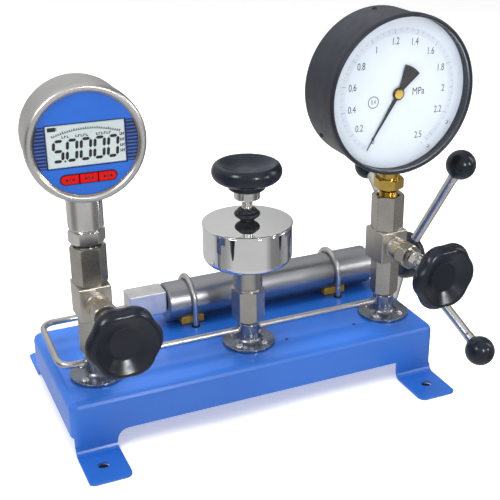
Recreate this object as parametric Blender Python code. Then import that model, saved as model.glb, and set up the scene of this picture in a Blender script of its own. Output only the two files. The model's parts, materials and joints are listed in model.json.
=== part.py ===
"""Bench hydraulic hand pump with two gauge stations, an oil cup and a four-arm handle.

Metres, +Z up. +X runs along the pump cylinder towards the handle and the gauges face -Y.
The origin lies on the plane of the feet, midway between them.
"""
import math

import bmesh
import bpy
from mathutils import Matrix, Vector

MM = 0.001
GAP = 0.3 * MM                      # clearance between pieces that touch

# How many flats a round piece has
LARGE = 32
MEDIUM = 24
SMALL = 16
TINY = 8

# Base cover, a folded sheet tray on four feet
BASE_LENGTH = 404 * MM
BASE_DEPTH = 166 * MM
BASE_HEIGHT = 57 * MM
SHEET = 2.5 * MM
BEND_RADIUS = 8 * MM
WALL_BOTTOM = 20 * MM               # lower edge of the walls between the feet
NOTCH_FILLET = 11.5 * MM            # at the left end of the front and back walls
FOOT_WIDTH = 44.5 * MM
FOOT_REACH = 51 * MM
FOOT_BEND = 6 * MM                  # inside radius of the bend from wall to foot
FOOT_CORNER = 7 * MM
SLOT_LENGTH = 12 * MM
SLOT_WIDTH = 9.5 * MM

# The three posts
POST_X = {"left": -160.5 * MM, "centre": 3.5 * MM, "right": 166.5 * MM}
POST_Y = -33 * MM
FLANGE_RADIUS = 27.5 * MM
FLANGE_THICKNESS = 3 * MM
NECK_RADIUS = 11 * MM
NECK_TOP = 81 * MM
BODY_CORNER_RADIUS = 15.3 * MM      # six-sided valve post
HEX_TURN = {"left": math.radians(-7.5), "right": math.radians(22.7), "centre": math.radians(-23)}
CENTRE_CORNER_RADIUS = 17.3 * MM    # six-sided cup post
CENTRE_HEX_TOP = 120 * MM
CENTRE_NECK_RADIUS = 15 * MM        # round neck under the oil cup
FLOW_BORE = 3 * MM

# Needle valves on the outer posts
BLOCK_SIDE = 32 * MM
BLOCK_BOTTOM = 124 * MM
BLOCK_TOP = 159 * MM
VALVE_TURN = {"left": math.radians(1.5), "right": math.radians(4.4)}
BONNET_RADIUS = 12 * MM
BONNET_END = 33 * MM                # along the valve axis from the post axis
GLAND_END = 47 * MM
GLAND_CORNER_RADIUS = 13.5 * MM
STEM_BORE = 4 * MM
STEM_RADIUS = 3.6 * MM
NEEDLE_START = 6 * MM
NEEDLE_END = 26 * MM
STEM_END = 84 * MM
STEM_HEX_RADIUS = 8.7 * MM
STEM_BOSS_RADIUS = 6 * MM
KNOB_BACK = 80 * MM
KNOB_FRONT = 113 * MM
KNOB_RADIUS = 36.2 * MM
KNOB_LOBES = 6
KNOB_SOCKET = 6 * MM                # depth the stem enters the knob
# Knob outline from back to front, as shares of its radius and of its length
KNOB_OUTLINE = [(0.31, 0), (0.37, 0.22), (0.84, 0.34), (0.97, 0.44), (1, 0.56), (0.97, 0.68),
                (0.88, 0.77), (0.55, 0.9), (0.3, 1), (0, 1)]
LOBE_DEPTH = 0.055                  # share of the radius lost between two lobes
LOBE_START = 0.6                    # share of the radius where the lobes begin

# Couplings under the gauges
SLEEVE_CORNER_RADIUS = 17.6 * MM
SLEEVE_TOP = 198 * MM
SLEEVE_BORE = 12 * MM
SLEEVE_SOCKET = 184 * MM            # floor of the bore that takes the gauge stem

# Digital gauge
DIGITAL_HEIGHT = 306.6 * MM
DIGITAL_TURN = math.radians(-3.4)
DIGITAL_BEZEL_RADIUS = 54 * MM
DIGITAL_CASE_RADIUS = 51.5 * MM
DIGITAL_FACE_RADIUS = 47 * MM
DIGITAL_FRONT = 39 * MM
DIGITAL_BACK = -17.5 * MM
DIGITAL_STEM_RADIUS = 17 * MM
DISPLAY_WIDTH = 69 * MM
DISPLAY_HEIGHT = 38 * MM
BUTTON_WIDTH = 15.6 * MM
BUTTON_HEIGHT = 8 * MM
BUTTON_PITCH = 16.8 * MM
BUTTON_DROP = 30.5 * MM             # below the gauge centre

# Analog gauge
ANALOG_HEIGHT = 308 * MM
ANALOG_BEZEL_RADIUS = 82.5 * MM
ANALOG_CASE_RADIUS = 80.5 * MM
ANALOG_DIAL_RADIUS = 78.5 * MM
ANALOG_FRONT = 21.5 * MM
ANALOG_BACK = -42 * MM
POINTER_REST = math.radians(-148)   # from straight up, clockwise is positive

# Pump cylinder and screw
PUMP_Y = 46 * MM
PUMP_Z = 80.5 * MM
CYLINDER_RADIUS = 21.5 * MM
CYLINDER_START = -62.5 * MM
CYLINDER_END = 186 * MM
CYLINDER_NOSE_END = 197 * MM
CYLINDER_NOSE_RADIUS = 14 * MM
CYLINDER_BORE = 15 * MM
SPINDLE_RADIUS = 8 * MM
PISTON_START = -10 * MM
PISTON_END = 28 * MM
BLOCK_INLET_START = -104.5 * MM
BLOCK_INLET_END = -63.5 * MM
INLET_SIDE = 25 * MM
INLET_RISE = 6 * MM                  # of the block's middle above the pump axis
INLET_BOSS_RADIUS = 6 * MM

# Handle
HUB_X = 244 * MM
HUB_RADIUS = 28 * MM
HUB_BACK = -13 * MM
HUB_FRONT = 20 * MM
SPINDLE_IN_HUB = 3 * MM             # how far the spindle passes the plane of the arms
ARM_COUNT = 4
ARM_REACH = 149 * MM
ARM_DISH = 20 * MM
ARM_ANGLE = math.radians(62.5)      # first arm, from the front towards up
ARM_RADIUS = 6 * MM
ARM_START = 19 * MM
ARM_SINK = 9 * MM
BALL_RADIUS = 16.6 * MM

# U-bolts and saddles
U_BOLT_X = {"left": -35.5 * MM, "right": 139 * MM}
ROD_RADIUS = 2.9 * MM
SADDLE_LENGTH = 26 * MM
SADDLE_HALF_WIDTH = 17 * MM
SADDLE_TOP = 66 * MM

# Tubes
TUBE_RADIUS = 3.4 * MM
TUBE_Z = 73 * MM
LOOP_LEFT = -197 * MM
LOOP_BEND = 13 * MM
LOOP_REAR_Z = 80.5 * MM
LOOP_REAR_Y = 50 * MM

# Oil cup
CUP_BOTTOM = 152 * MM
CUP_TOP = 192 * MM
CUP_RADIUS = 46 * MM
CUP_WALL = 1.5 * MM
LID_TOP = 193.6 * MM
CUP_STEM_RADIUS = 5.6 * MM
COLLAR_RADIUS = 13.2 * MM           # on the stem, under the handwheel
COLLAR_BOTTOM = 219 * MM
COLLAR_TOP = 228 * MM
CUP_STEM_TOP = 246 * MM
CUP_NEEDLE_START = 112 * MM
CUP_NEEDLE_END = 138 * MM
CUP_NEEDLE_RADIUS = 2.4 * MM
WHEEL_RADIUS = 35.4 * MM
WHEEL_BOTTOM = 228.3 * MM
WHEEL_TOP = 255.5 * MM
# Handwheel outline from below to the middle of its dished top, as shares of its radius and height
WHEEL_OUTLINE = [(0.494, 0), (0.531, 0.21), (0.8, 0.32), (0.95, 0.485), (1, 0.69), (0.96, 0.87),
                 (0.86, 1), (0.72, 0.963), (0.4, 0.816), (0, 0.78)]


# ---------------------------------------------------------------- mesh helpers

def clear_scene():
    for item in list(bpy.data.objects):
        bpy.data.objects.remove(item, do_unlink=True)


def finish_mesh(bm, name):
    bmesh.ops.remove_doubles(bm, verts=bm.verts, dist=1e-7)
    bmesh.ops.recalc_face_normals(bm, faces=bm.faces)
    mesh = bpy.data.meshes.new(name)
    bm.to_mesh(mesh)
    bm.free()
    return mesh


def round_row(bm, radius, height, sides, turn=0.0):
    """One row of corners around Z, or a single point on the axis when the radius is zero."""
    if radius == 0:
        return [bm.verts.new((0, 0, height))]
    row = []
    for step in range(sides):
        angle = turn + 2 * math.pi * step / sides
        row.append(bm.verts.new((radius * math.cos(angle), radius * math.sin(angle), height)))
    return row


def bridge_rows(bm, rows, sides, ring=False):
    """Faces between neighbouring rows of corners; ring also joins the last row to the first."""
    pairs = list(zip(rows, rows[1:]))
    if ring:
        pairs.append((rows[-1], rows[0]))
    for lower, upper in pairs:
        for step in range(sides):
            after = (step + 1) % sides
            corners = [lower[step % len(lower)], lower[after % len(lower)],
                       upper[after % len(upper)], upper[step % len(upper)]]
            unique = list(dict.fromkeys(corners))
            if len(unique) > 2:
                bm.faces.new(unique)


def turned(profile, sides, ring=False, turn=0.0):
    """Solid of revolution about Z from (radius, height) points; ring closes the profile."""
    bm = bmesh.new()
    rows = [round_row(bm, radius, height, sides, turn) for radius, height in profile]
    bridge_rows(bm, rows, sides, ring)
    return bm


def rod(radius, bottom, top, sides, turn=0.0):
    return turned([(0, bottom), (radius, bottom), (radius, top), (0, top)], sides, turn=turn)


def clear_of(radius, sides):
    """Corner radius of a many-sided hole whose flats clear a round piece by the usual gap."""
    return (radius + GAP) / math.cos(math.pi / sides)


def extruded(outline, bottom, top):
    """Prism along Z from a list of (x, y) points."""
    bm = bmesh.new()
    lower = [bm.verts.new((x, y, bottom)) for x, y in outline]
    upper = [bm.verts.new((x, y, top)) for x, y in outline]
    count = len(outline)
    bm.faces.new(lower)
    bm.faces.new(upper)
    for step in range(count):
        after = (step + 1) % count
        bm.faces.new((lower[step], lower[after], upper[after], upper[step]))
    return bm


def block(x_range, y_range, z_range, bevel=0.0, segments=1, sharp_bottom=False):
    outline = [(x_range[0], y_range[0]), (x_range[1], y_range[0]),
               (x_range[1], y_range[1]), (x_range[0], y_range[1])]
    bm = extruded(outline, z_range[0], z_range[1])
    if bevel:
        edges = bm.edges[:]
        if sharp_bottom:
            low = z_range[0] + 1e-6
            edges = [edge for edge in edges if max(v.co.z for v in edge.verts) > low]
        bmesh.ops.bevel(bm, geom=edges, offset=bevel, segments=segments, profile=0.5, affect="EDGES")
    return bm


def swept(path, radius, sides):
    """Round bar along a list of points, with flat ends."""
    bm = bmesh.new()
    rows = []
    side = None
    for index, point in enumerate(path):
        before = path[max(index - 1, 0)]
        after = path[min(index + 1, len(path) - 1)]
        forward = (after - before).normalized()
        if side is None:
            side = forward.orthogonal().normalized()
        side = (side - forward * side.dot(forward)).normalized()
        other = forward.cross(side)
        row = []
        for step in range(sides):
            angle = 2 * math.pi * step / sides
            row.append(bm.verts.new(point + radius * (side * math.cos(angle) + other * math.sin(angle))))
        rows.append(row)
    bm.faces.new(rows[0])
    bm.faces.new(rows[-1])
    bridge_rows(bm, rows, sides)
    return bm


def shifted(bm, offset=(0, 0, 0), rotation=None):
    if rotation is not None:
        bmesh.ops.transform(bm, matrix=rotation, verts=bm.verts)
    bmesh.ops.translate(bm, vec=Vector(offset), verts=bm.verts)
    return bm


def boolean(first, second, operation):
    """Join or cut two bmeshes exactly and return the result as a new bmesh."""
    pieces = []
    for bm in (first, second):
        piece = bpy.data.objects.new("operand", finish_mesh(bm, "operand"))
        bpy.context.scene.collection.objects.link(piece)
        pieces.append(piece)
    cut = pieces[0].modifiers.new("cut", "BOOLEAN")
    cut.operation = operation
    cut.solver = "EXACT"
    cut.object = pieces[1]
    evaluated = pieces[0].evaluated_get(bpy.context.evaluated_depsgraph_get())
    result = bmesh.new()
    result.from_mesh(bpy.data.meshes.new_from_object(evaluated))
    for piece in pieces:
        bpy.data.objects.remove(piece, do_unlink=True)
    return result


def union(first, *others):
    for other in others:
        first = boolean(first, other, "UNION")
    return first


def cut(first, *tools):
    for tool in tools:
        first = boolean(first, tool, "DIFFERENCE")
    return first


def look(name, colour, roughness, metallic):
    material = bpy.data.materials.new(name)
    material.use_nodes = True
    shader = material.node_tree.nodes["Principled BSDF"]
    shader.inputs["Base Color"].default_value = (*colour, 1)
    shader.inputs["Roughness"].default_value = roughness
    shader.inputs["Metallic"].default_value = metallic
    return material


def add(name, bm, material, parent=None, location=(0, 0, 0), rotation=(0, 0, 0), smooth=35):
    mesh = bm if isinstance(bm, bpy.types.Mesh) else finish_mesh(bm, name)
    mesh.shade_smooth()
    mesh.set_sharp_from_angle(angle=math.radians(smooth))
    if not mesh.materials:
        mesh.materials.append(material)
    item = bpy.data.objects.new(name, mesh)
    bpy.context.scene.collection.objects.link(item)
    item.parent = parent
    item.location = location
    item.rotation_euler = rotation
    return item


def frame(name, location, rotation=(0, 0, 0), parent=None):
    empty = bpy.data.objects.new(name, None)
    bpy.context.scene.collection.objects.link(empty)
    empty.parent = parent
    empty.location = location
    empty.rotation_euler = rotation
    return empty


def arc(centre, radius, start, end, steps):
    points = []
    for step in range(steps + 1):
        angle = start + (end - start) * step / steps
        points.append((centre[0] + radius * math.cos(angle), centre[1] + radius * math.sin(angle)))
    return points


# ---------------------------------------------------------------- base

def foot_slot(x, y):
    half = (SLOT_LENGTH - SLOT_WIDTH) / 2
    outline = arc((x + half, y), SLOT_WIDTH / 2, -math.pi / 2, math.pi / 2, 6)
    outline += arc((x - half, y), SLOT_WIDTH / 2, math.pi / 2, 1.5 * math.pi, 6)
    return extruded(outline, -SHEET, 2 * SHEET)


def mirrored(outline, side_x, side_y):
    return [(side_x * x, side_y * y) for x, y in outline]


def foot(side_x, side_y):
    """Strip that leaves the wall through a bend and ends in a flat foot with two round corners."""
    wall = BASE_DEPTH / 2
    end = wall + FOOT_REACH
    inner = BASE_LENGTH / 2 - FOOT_WIDTH
    outer = BASE_LENGTH / 2 - SHEET
    top = SHEET + FOOT_BEND + MM
    centre = (wall + FOOT_BEND, SHEET + FOOT_BEND)
    side = [(wall - SHEET, top)] + arc(centre, FOOT_BEND + SHEET, math.pi, 1.5 * math.pi, 4)
    side += [(end, 0), (end, SHEET)] + arc(centre, FOOT_BEND, 1.5 * math.pi, math.pi, 4) + [(wall, top)]
    strip = extruded(mirrored(side, side_y, 1), inner, outer)
    across = Matrix(((0, 0, side_x), (1, 0, 0), (0, 1, 0))).to_4x4()
    strip = shifted(strip, rotation=across)
    corner = end - FOOT_CORNER
    plan = [(inner, wall - 2 * SHEET), (outer + MM, wall - 2 * SHEET)]
    plan += arc((outer + MM - FOOT_CORNER, corner), FOOT_CORNER, 0, math.pi / 2, 4)
    plan += arc((inner + FOOT_CORNER, corner), FOOT_CORNER, math.pi / 2, math.pi, 4)
    return boolean(strip, extruded(mirrored(plan, side_x, side_y), -MM, 2 * top), "INTERSECT")


def wall_notch():
    """Opening under the front and back walls, cut through both; its left corner is filleted."""
    notch_x = BASE_LENGTH / 2 - FOOT_WIDTH
    outline = [(-notch_x, -1), (notch_x, -1), (notch_x, WALL_BOTTOM)]
    outline += arc((NOTCH_FILLET - notch_x, WALL_BOTTOM - NOTCH_FILLET), NOTCH_FILLET,
                   math.pi / 2, math.pi, 6)
    return shifted(extruded(outline, -1, 1), rotation=Matrix.Rotation(math.radians(90), 4, "X"))


def make_base(material):
    half_x = BASE_LENGTH / 2
    half_y = BASE_DEPTH / 2
    leg_bottom = SHEET + FOOT_BEND
    tray = block((-half_x, half_x), (-half_y, half_y), (leg_bottom, BASE_HEIGHT), BEND_RADIUS, 4, True)
    inside = block((SHEET - half_x, half_x - SHEET), (SHEET - half_y, half_y - SHEET),
                   (-SHEET, BASE_HEIGHT - SHEET), BEND_RADIUS - SHEET, 2, True)
    tray = cut(tray, inside, wall_notch())
    tray = cut(tray, block((-1, 1), (SHEET - half_y, half_y - SHEET), (-1, WALL_BOTTOM)))
    for side_x in (-1, 1):
        for side_y in (-1, 1):
            tray = union(tray, foot(side_x, side_y))
            centre = (side_x * (half_x - FOOT_WIDTH / 2), side_y * (half_y + FOOT_REACH / 2))
            tray = cut(tray, foot_slot(*centre))
    leg_hole = ROD_RADIUS + GAP
    for x in U_BOLT_X.values():
        for side in (-1, 1):
            hole = rod(leg_hole, -SHEET, SHEET, TINY)
            y = PUMP_Y + side * (CYLINDER_RADIUS + GAP + ROD_RADIUS)
            tray = cut(tray, shifted(hole, (x, y, BASE_HEIGHT - SHEET / 2)))
    add("base_cover", tray, material)


# ---------------------------------------------------------------- posts

def make_flange(name, material, post, openings):
    bottom = BASE_HEIGHT + GAP
    plate = bottom + FLANGE_THICKNESS
    profile = [(0, bottom), (FLANGE_RADIUS, bottom), (FLANGE_RADIUS, plate - 0.6 * MM),
               (FLANGE_RADIUS - 0.6 * MM, plate), (NECK_RADIUS + 2.5 * MM, plate),
               (NECK_RADIUS, plate + 2.5 * MM), (NECK_RADIUS, NECK_TOP), (0, NECK_TOP)]
    solid = turned(profile, MEDIUM)
    tools = [rod(FLOW_BORE, TUBE_Z - FLOW_BORE, NECK_TOP + MM, TINY)]
    for direction in openings:
        start = Vector((0, 0, TUBE_Z))
        end = Vector((direction * 2 * NECK_RADIUS, 0, TUBE_Z))
        tools.append(swept([start, end], TUBE_RADIUS - MM, TINY))
    add(name, cut(solid, *tools), material, post)


def hex_body(bottom, top, radius, chamfer, neck=None):
    profile = [(0, bottom), (radius - 1.6 * chamfer, bottom), (radius, bottom + chamfer),
               (radius, top - chamfer / 3), (radius - chamfer / 3, top), (0, top)]
    solid = turned(profile, 6)
    if neck:
        neck_radius, neck_top = neck
        solid = union(solid, rod(neck_radius, top - MM, neck_top, MEDIUM))
    return solid


def make_post_body(name, material, post, top, radius, turn, neck=None):
    solid = hex_body(NECK_TOP + GAP, top, radius, 3 * MM, neck)
    bore_top = (neck[1] if neck else top) + MM
    add(name, cut(solid, rod(FLOW_BORE, NECK_TOP, bore_top, TINY)), material, post, rotation=(0, 0, turn))


def make_valve(side, looks, post):
    turn = VALVE_TURN[side]
    half = BLOCK_SIDE / 2
    middle = (BLOCK_BOTTOM + BLOCK_TOP) / 2
    body = block((-half, half), (-half, half), (BLOCK_BOTTOM + GAP, BLOCK_TOP), 0.8 * MM, 1)
    flow = rod(FLOW_BORE, BLOCK_BOTTOM - MM, BLOCK_TOP + MM, TINY)
    upright = Matrix.Rotation(math.radians(90), 4, "X")
    bore = shifted(rod(STEM_BORE, 0, BLOCK_SIDE, TINY), (0, 0, middle), upright)
    add(f"valve_block_{side}", cut(body, flow, bore), looks["nickel"], post, rotation=(0, 0, turn))

    axis = frame(f"valve_axis_{side}", (0, 0, middle), (math.radians(90), 0, turn), post)
    seat = half + GAP
    bonnet = rod(BONNET_RADIUS, seat, BONNET_END + MM, SMALL)
    nut_radius = GLAND_CORNER_RADIUS
    nut = [(0, BONNET_END), (nut_radius - MM, BONNET_END), (nut_radius, BONNET_END + 1.5 * MM),
           (nut_radius, GLAND_END - 1.5 * MM), (nut_radius - MM, GLAND_END), (0, GLAND_END)]
    passage = rod(STEM_BORE, 0, 2 * GLAND_END, TINY)
    bonnet = cut(union(bonnet, turned(nut, 6, turn=0.3)), passage)
    add(f"valve_bonnet_{side}", bonnet, looks["nickel"], axis)

    tip = [(0, NEEDLE_START), (STEM_RADIUS, NEEDLE_START + 5 * MM), (STEM_RADIUS, NEEDLE_END),
           (0, NEEDLE_END)]
    add(f"valve_needle_{side}", turned(tip, TINY), looks["steel"], axis)
    hex_start = GLAND_END + 4 * MM
    hex_end = GLAND_END + 13 * MM
    stem = rod(STEM_RADIUS, NEEDLE_END + GAP, STEM_END, TINY)
    drive = rod(STEM_HEX_RADIUS, hex_start, hex_end, 6)
    boss = rod(STEM_BOSS_RADIUS, hex_end - MM, KNOB_BACK - GAP, SMALL)
    add(f"valve_stem_{side}", union(stem, drive, boss), looks["nickel"], axis)
    add(f"valve_knob_{side}", lobed_knob(), looks["bakelite"], axis)


def lobed_knob():
    """Moulded knob: a round boss at the back, a lobed disc and a shallow cone in front."""
    sides = 6 * KNOB_LOBES
    bore = STEM_RADIUS + GAP
    length = KNOB_FRONT - KNOB_BACK
    profile = [(bore, 0)] + [(KNOB_RADIUS * share, length * along) for share, along in KNOB_OUTLINE]
    profile += [(0, KNOB_SOCKET), (bore, KNOB_SOCKET)]
    bm = bmesh.new()
    rows = [round_row(bm, radius, KNOB_BACK + height, sides) for radius, height in profile]
    for row in rows:
        for corner in row:
            radius = corner.co.xy.length
            strength = max(0, radius / KNOB_RADIUS - LOBE_START) / (1 - LOBE_START)
            wave = 1 - math.cos(KNOB_LOBES * math.atan2(corner.co.y, corner.co.x))
            corner.co.xy *= 1 - LOBE_DEPTH * strength * wave / 2
    bridge_rows(bm, rows, sides, ring=True)
    return bm


def make_sleeve(side, material, post, turn):
    bottom = BLOCK_TOP + GAP
    radius = SLEEVE_CORNER_RADIUS
    solid = turned([(0, bottom), (radius - 1.5 * MM, bottom), (radius, bottom + 1.2 * MM),
                    (radius, SLEEVE_TOP - 2 * MM), (radius - 2 * MM, SLEEVE_TOP), (0, SLEEVE_TOP)], 6)
    socket = rod(SLEEVE_BORE, SLEEVE_SOCKET, SLEEVE_TOP + MM, SMALL)
    flow = rod(FLOW_BORE, bottom - MM, SLEEVE_SOCKET + MM, TINY)
    add(f"coupling_sleeve_{side}", cut(solid, socket, flow), material, post, rotation=(0, 0, turn))


# ---------------------------------------------------------------- gauges

def make_digital_gauge(looks, post):
    spigot = SLEEVE_BORE - GAP
    hex_bottom = SLEEVE_TOP + 2 * MM
    hex_top = SLEEVE_TOP + 16 * MM
    case_bottom = DIGITAL_HEIGHT - DIGITAL_CASE_RADIUS
    stem = rod(spigot, SLEEVE_SOCKET + GAP, hex_bottom + MM, SMALL)
    nut = turned([(0, hex_bottom), (15.5 * MM, hex_bottom), (17.8 * MM, hex_bottom + 2.5 * MM),
                  (17.8 * MM, hex_top), (0, hex_top)], 6, turn=HEX_TURN["left"])
    barrel = turned([(0, hex_top - MM), (14.5 * MM, hex_top - MM), (DIGITAL_STEM_RADIUS, hex_top + 3 * MM),
                     (DIGITAL_STEM_RADIUS, case_bottom + 10 * MM), (0, case_bottom + 10 * MM)], MEDIUM)
    clearance = rod(DIGITAL_CASE_RADIUS + GAP, 2 * DIGITAL_BACK, 2 * DIGITAL_FRONT, LARGE)
    facing = Matrix.Rotation(DIGITAL_TURN, 4, "Z") @ Matrix.Rotation(math.radians(90), 4, "X")
    clearance = shifted(clearance, (0, 0, DIGITAL_HEIGHT), facing)
    add("digital_gauge_stem", cut(union(stem, nut, barrel), clearance), looks["stainless"], post)

    centre = frame("digital_gauge_frame", (0, 0, DIGITAL_HEIGHT), (math.radians(90), 0, DIGITAL_TURN), post)
    back = DIGITAL_BACK
    front = DIGITAL_FRONT
    rear_of_bezel = front - 13 * MM
    case_radius = DIGITAL_CASE_RADIUS
    wall = 2 * MM
    case = [(0, back), (case_radius - 4 * MM, back), (case_radius, back + 4 * MM),
            (case_radius, rear_of_bezel), (case_radius - wall, rear_of_bezel),
            (case_radius - wall, back + wall + 4 * MM), (0, back + wall)]
    add("digital_gauge_case", turned(case, LARGE), looks["stainless"], centre)
    outer = DIGITAL_BEZEL_RADIUS
    face = DIGITAL_FACE_RADIUS
    bezel = [(face, rear_of_bezel + GAP), (outer - MM, rear_of_bezel + GAP), (outer, rear_of_bezel + MM),
             (outer, front - 3 * MM), (outer - 2.5 * MM, front), (face + 2 * MM, front),
             (face, front - 2 * MM)]
    add("digital_gauge_bezel", turned(bezel, LARGE, ring=True), looks["stainless"], centre)
    plate_front = front - 3.5 * MM
    plate_back = plate_front - 4 * MM
    plate = rod(face - GAP, plate_back, plate_front, LARGE)
    half_width = DISPLAY_WIDTH / 2
    half_height = DISPLAY_HEIGHT / 2
    window = block((-half_width - GAP, half_width + GAP), (-half_height - GAP, half_height + GAP),
                   (plate_back - MM, plate_front + MM))
    plate = cut(plate, window)
    half_button = BUTTON_WIDTH / 2
    for step in (-1, 0, 1):
        opening = block((step * BUTTON_PITCH - half_button - GAP, step * BUTTON_PITCH + half_button + GAP),
                        (-BUTTON_DROP - BUTTON_HEIGHT / 2 - GAP, -BUTTON_DROP + BUTTON_HEIGHT / 2 + GAP),
                        (plate_back - MM, plate_front + MM))
        plate = cut(plate, opening)
    add("digital_gauge_face", plate, looks["blue_print"], centre)
    display = block((-half_width, half_width), (-half_height, half_height),
                    (plate_back, plate_front - 0.5 * MM))
    add("digital_display", display, looks["display"], centre)
    for name, step in (("button_left", -1), ("button_middle", 0), ("button_right", 1)):
        key = block((-half_button, half_button), (-BUTTON_HEIGHT / 2, BUTTON_HEIGHT / 2),
                    (-3 * MM, 1.2 * MM), 0.5 * MM, 1)
        add(name, key, looks["red_rubber"], centre, (step * BUTTON_PITCH, -BUTTON_DROP, plate_front))


def make_analog_gauge(looks, post):
    case_bottom = ANALOG_HEIGHT - ANALOG_CASE_RADIUS
    spigot = 10 * MM
    nut_bottom = SLEEVE_TOP + 7.5 * MM
    nut_top = nut_bottom + 11 * MM
    lower = rod(spigot, SLEEVE_SOCKET + GAP, nut_bottom + MM, SMALL)
    nut = turned([(0, nut_bottom), (15 * MM, nut_bottom), (16 * MM, nut_bottom + MM), (16 * MM, nut_top),
                  (0, nut_top)], 6, turn=HEX_TURN["right"])
    upper = rod(11 * MM, nut_top - MM, case_bottom + 8 * MM, SMALL)
    facing = Matrix.Rotation(math.radians(90), 4, "X")
    clearance = rod(ANALOG_CASE_RADIUS + GAP, 2 * ANALOG_BACK, 2 * ANALOG_FRONT, LARGE)
    clearance = shifted(clearance, (0, 0, ANALOG_HEIGHT), facing)
    add("analog_gauge_socket", cut(union(lower, nut, upper), clearance), looks["brass"], post)

    centre = frame("analog_gauge_frame", (0, 0, ANALOG_HEIGHT), (math.radians(90), 0, 0), post)
    back = ANALOG_BACK
    front = ANALOG_FRONT
    rear_of_bezel = front - 10 * MM
    case_radius = ANALOG_CASE_RADIUS
    wall = 2 * MM
    case = [(0, back), (case_radius - 3 * MM, back), (case_radius, back + 3 * MM),
            (case_radius, rear_of_bezel), (case_radius - wall, rear_of_bezel),
            (case_radius - wall, back + wall + 3 * MM), (0, back + wall)]
    add("analog_gauge_case", turned(case, LARGE), looks["black_paint"], centre)
    outer = ANALOG_BEZEL_RADIUS
    sight = ANALOG_DIAL_RADIUS
    bezel = [(sight, rear_of_bezel + GAP), (outer - MM, rear_of_bezel + GAP), (outer, rear_of_bezel + MM),
             (outer, front - 3 * MM), (outer - 2 * MM, front), (sight + 1.5 * MM, front),
             (sight, front - 1.5 * MM)]
    add("analog_gauge_bezel", turned(bezel, LARGE, ring=True), looks["black_paint"], centre)
    glass_front = front - 2 * MM
    glass = rod(sight - GAP, glass_front - 2 * MM, glass_front, LARGE)
    add("analog_gauge_glass", glass, looks["glass"], centre)
    dial_front = rear_of_bezel - 3 * MM
    pivot_hole = 2.5 * MM
    dial = [(pivot_hole, dial_front - MM), (sight - GAP, dial_front - MM), (sight - GAP, dial_front),
            (pivot_hole, dial_front)]
    add("analog_gauge_dial", turned(dial, LARGE, ring=True), looks["dial"], centre)
    add("analog_gauge_pointer", pointer(dial_front), looks["black_paint"], centre,
        rotation=(0, 0, -POINTER_REST))
    coil = []
    for step in range(17):
        angle = math.radians(-80 + 270 * step / 16)
        coil.append(Vector((50 * MM * math.cos(angle), 50 * MM * math.sin(angle), -12 * MM)))
    add("bourdon_tube", swept(coil, 6 * MM, 8), looks["brass"], centre)


def pointer(dial_front):
    """Slim hand with a sector-shaped tail and a pivot, pointing along +Y at rest."""
    low = dial_front + 1.2 * MM
    high = low + 0.8 * MM
    tip = 62 * MM
    outline = [(0.35 * MM, tip), (-0.35 * MM, tip), (-2.2 * MM, 6 * MM), (-4.5 * MM, 4.5 * MM)]
    outline += arc((0, 0), 6 * MM, math.radians(160), math.radians(235), 4)
    outline += arc((0, 0), 27 * MM, math.radians(253), math.radians(287), 6)
    outline += arc((0, 0), 6 * MM, math.radians(305), math.radians(380), 4)
    outline += [(4.5 * MM, 4.5 * MM), (2.2 * MM, 6 * MM)]
    shaft = 2.2 * MM
    pivot = rod(shaft, dial_front - 5 * MM, low + 0.2 * MM, TINY)
    return union(extruded(outline, low, high), pivot)


# ---------------------------------------------------------------- pump and handle

def make_pump(looks):
    axis = frame("pump_axis", (0, PUMP_Y, PUMP_Z), (0, math.radians(90), 0))
    radius = CYLINDER_RADIUS
    nose_bore = SPINDLE_RADIUS + GAP
    inner_start = CYLINDER_START + 6 * MM
    inner_end = CYLINDER_END - 8 * MM
    port = FLOW_BORE
    profile = [(port, CYLINDER_START), (radius - MM, CYLINDER_START), (radius, CYLINDER_START + MM),
               (radius, CYLINDER_END - MM), (radius - MM, CYLINDER_END), (CYLINDER_NOSE_RADIUS, CYLINDER_END),
               (CYLINDER_NOSE_RADIUS, CYLINDER_NOSE_END), (nose_bore, CYLINDER_NOSE_END),
               (nose_bore, inner_end), (CYLINDER_BORE, inner_end), (CYLINDER_BORE, inner_start),
               (port, inner_start)]
    add("pump_cylinder", turned(profile, MEDIUM, ring=True), looks["brushed"], axis)
    seal = CYLINDER_BORE - GAP
    add("piston", rod(seal, PISTON_START, PISTON_END, MEDIUM), looks["steel"], axis)
    spindle = rod(SPINDLE_RADIUS, PISTON_END + GAP, HUB_X + SPINDLE_IN_HUB, SMALL)
    add("spindle", spindle, looks["steel"], axis)

    half = INLET_SIDE / 2
    inlet = block((-half - INLET_RISE, half - INLET_RISE), (-half, half),
                  (BLOCK_INLET_START, BLOCK_INLET_END), MM, 1)
    boss = rod(INLET_BOSS_RADIUS, BLOCK_INLET_END - MM, CYLINDER_START - GAP, SMALL)
    outlet = rod(port, BLOCK_INLET_END - 10 * MM, CYLINDER_START, TINY)
    add("inlet_block", cut(union(inlet, boss), outlet), looks["grey_metal"], axis)


def arm_directions():
    """Unit direction of each handle arm, measured from the front towards up."""
    tilt = math.atan2(ARM_DISH, ARM_REACH)
    directions = []
    for step in range(ARM_COUNT):
        angle = ARM_ANGLE - step * 2 * math.pi / ARM_COUNT
        directions.append(Vector((math.sin(tilt), -math.cos(tilt) * math.cos(angle),
                                  math.cos(tilt) * math.sin(angle))))
    return directions


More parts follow.
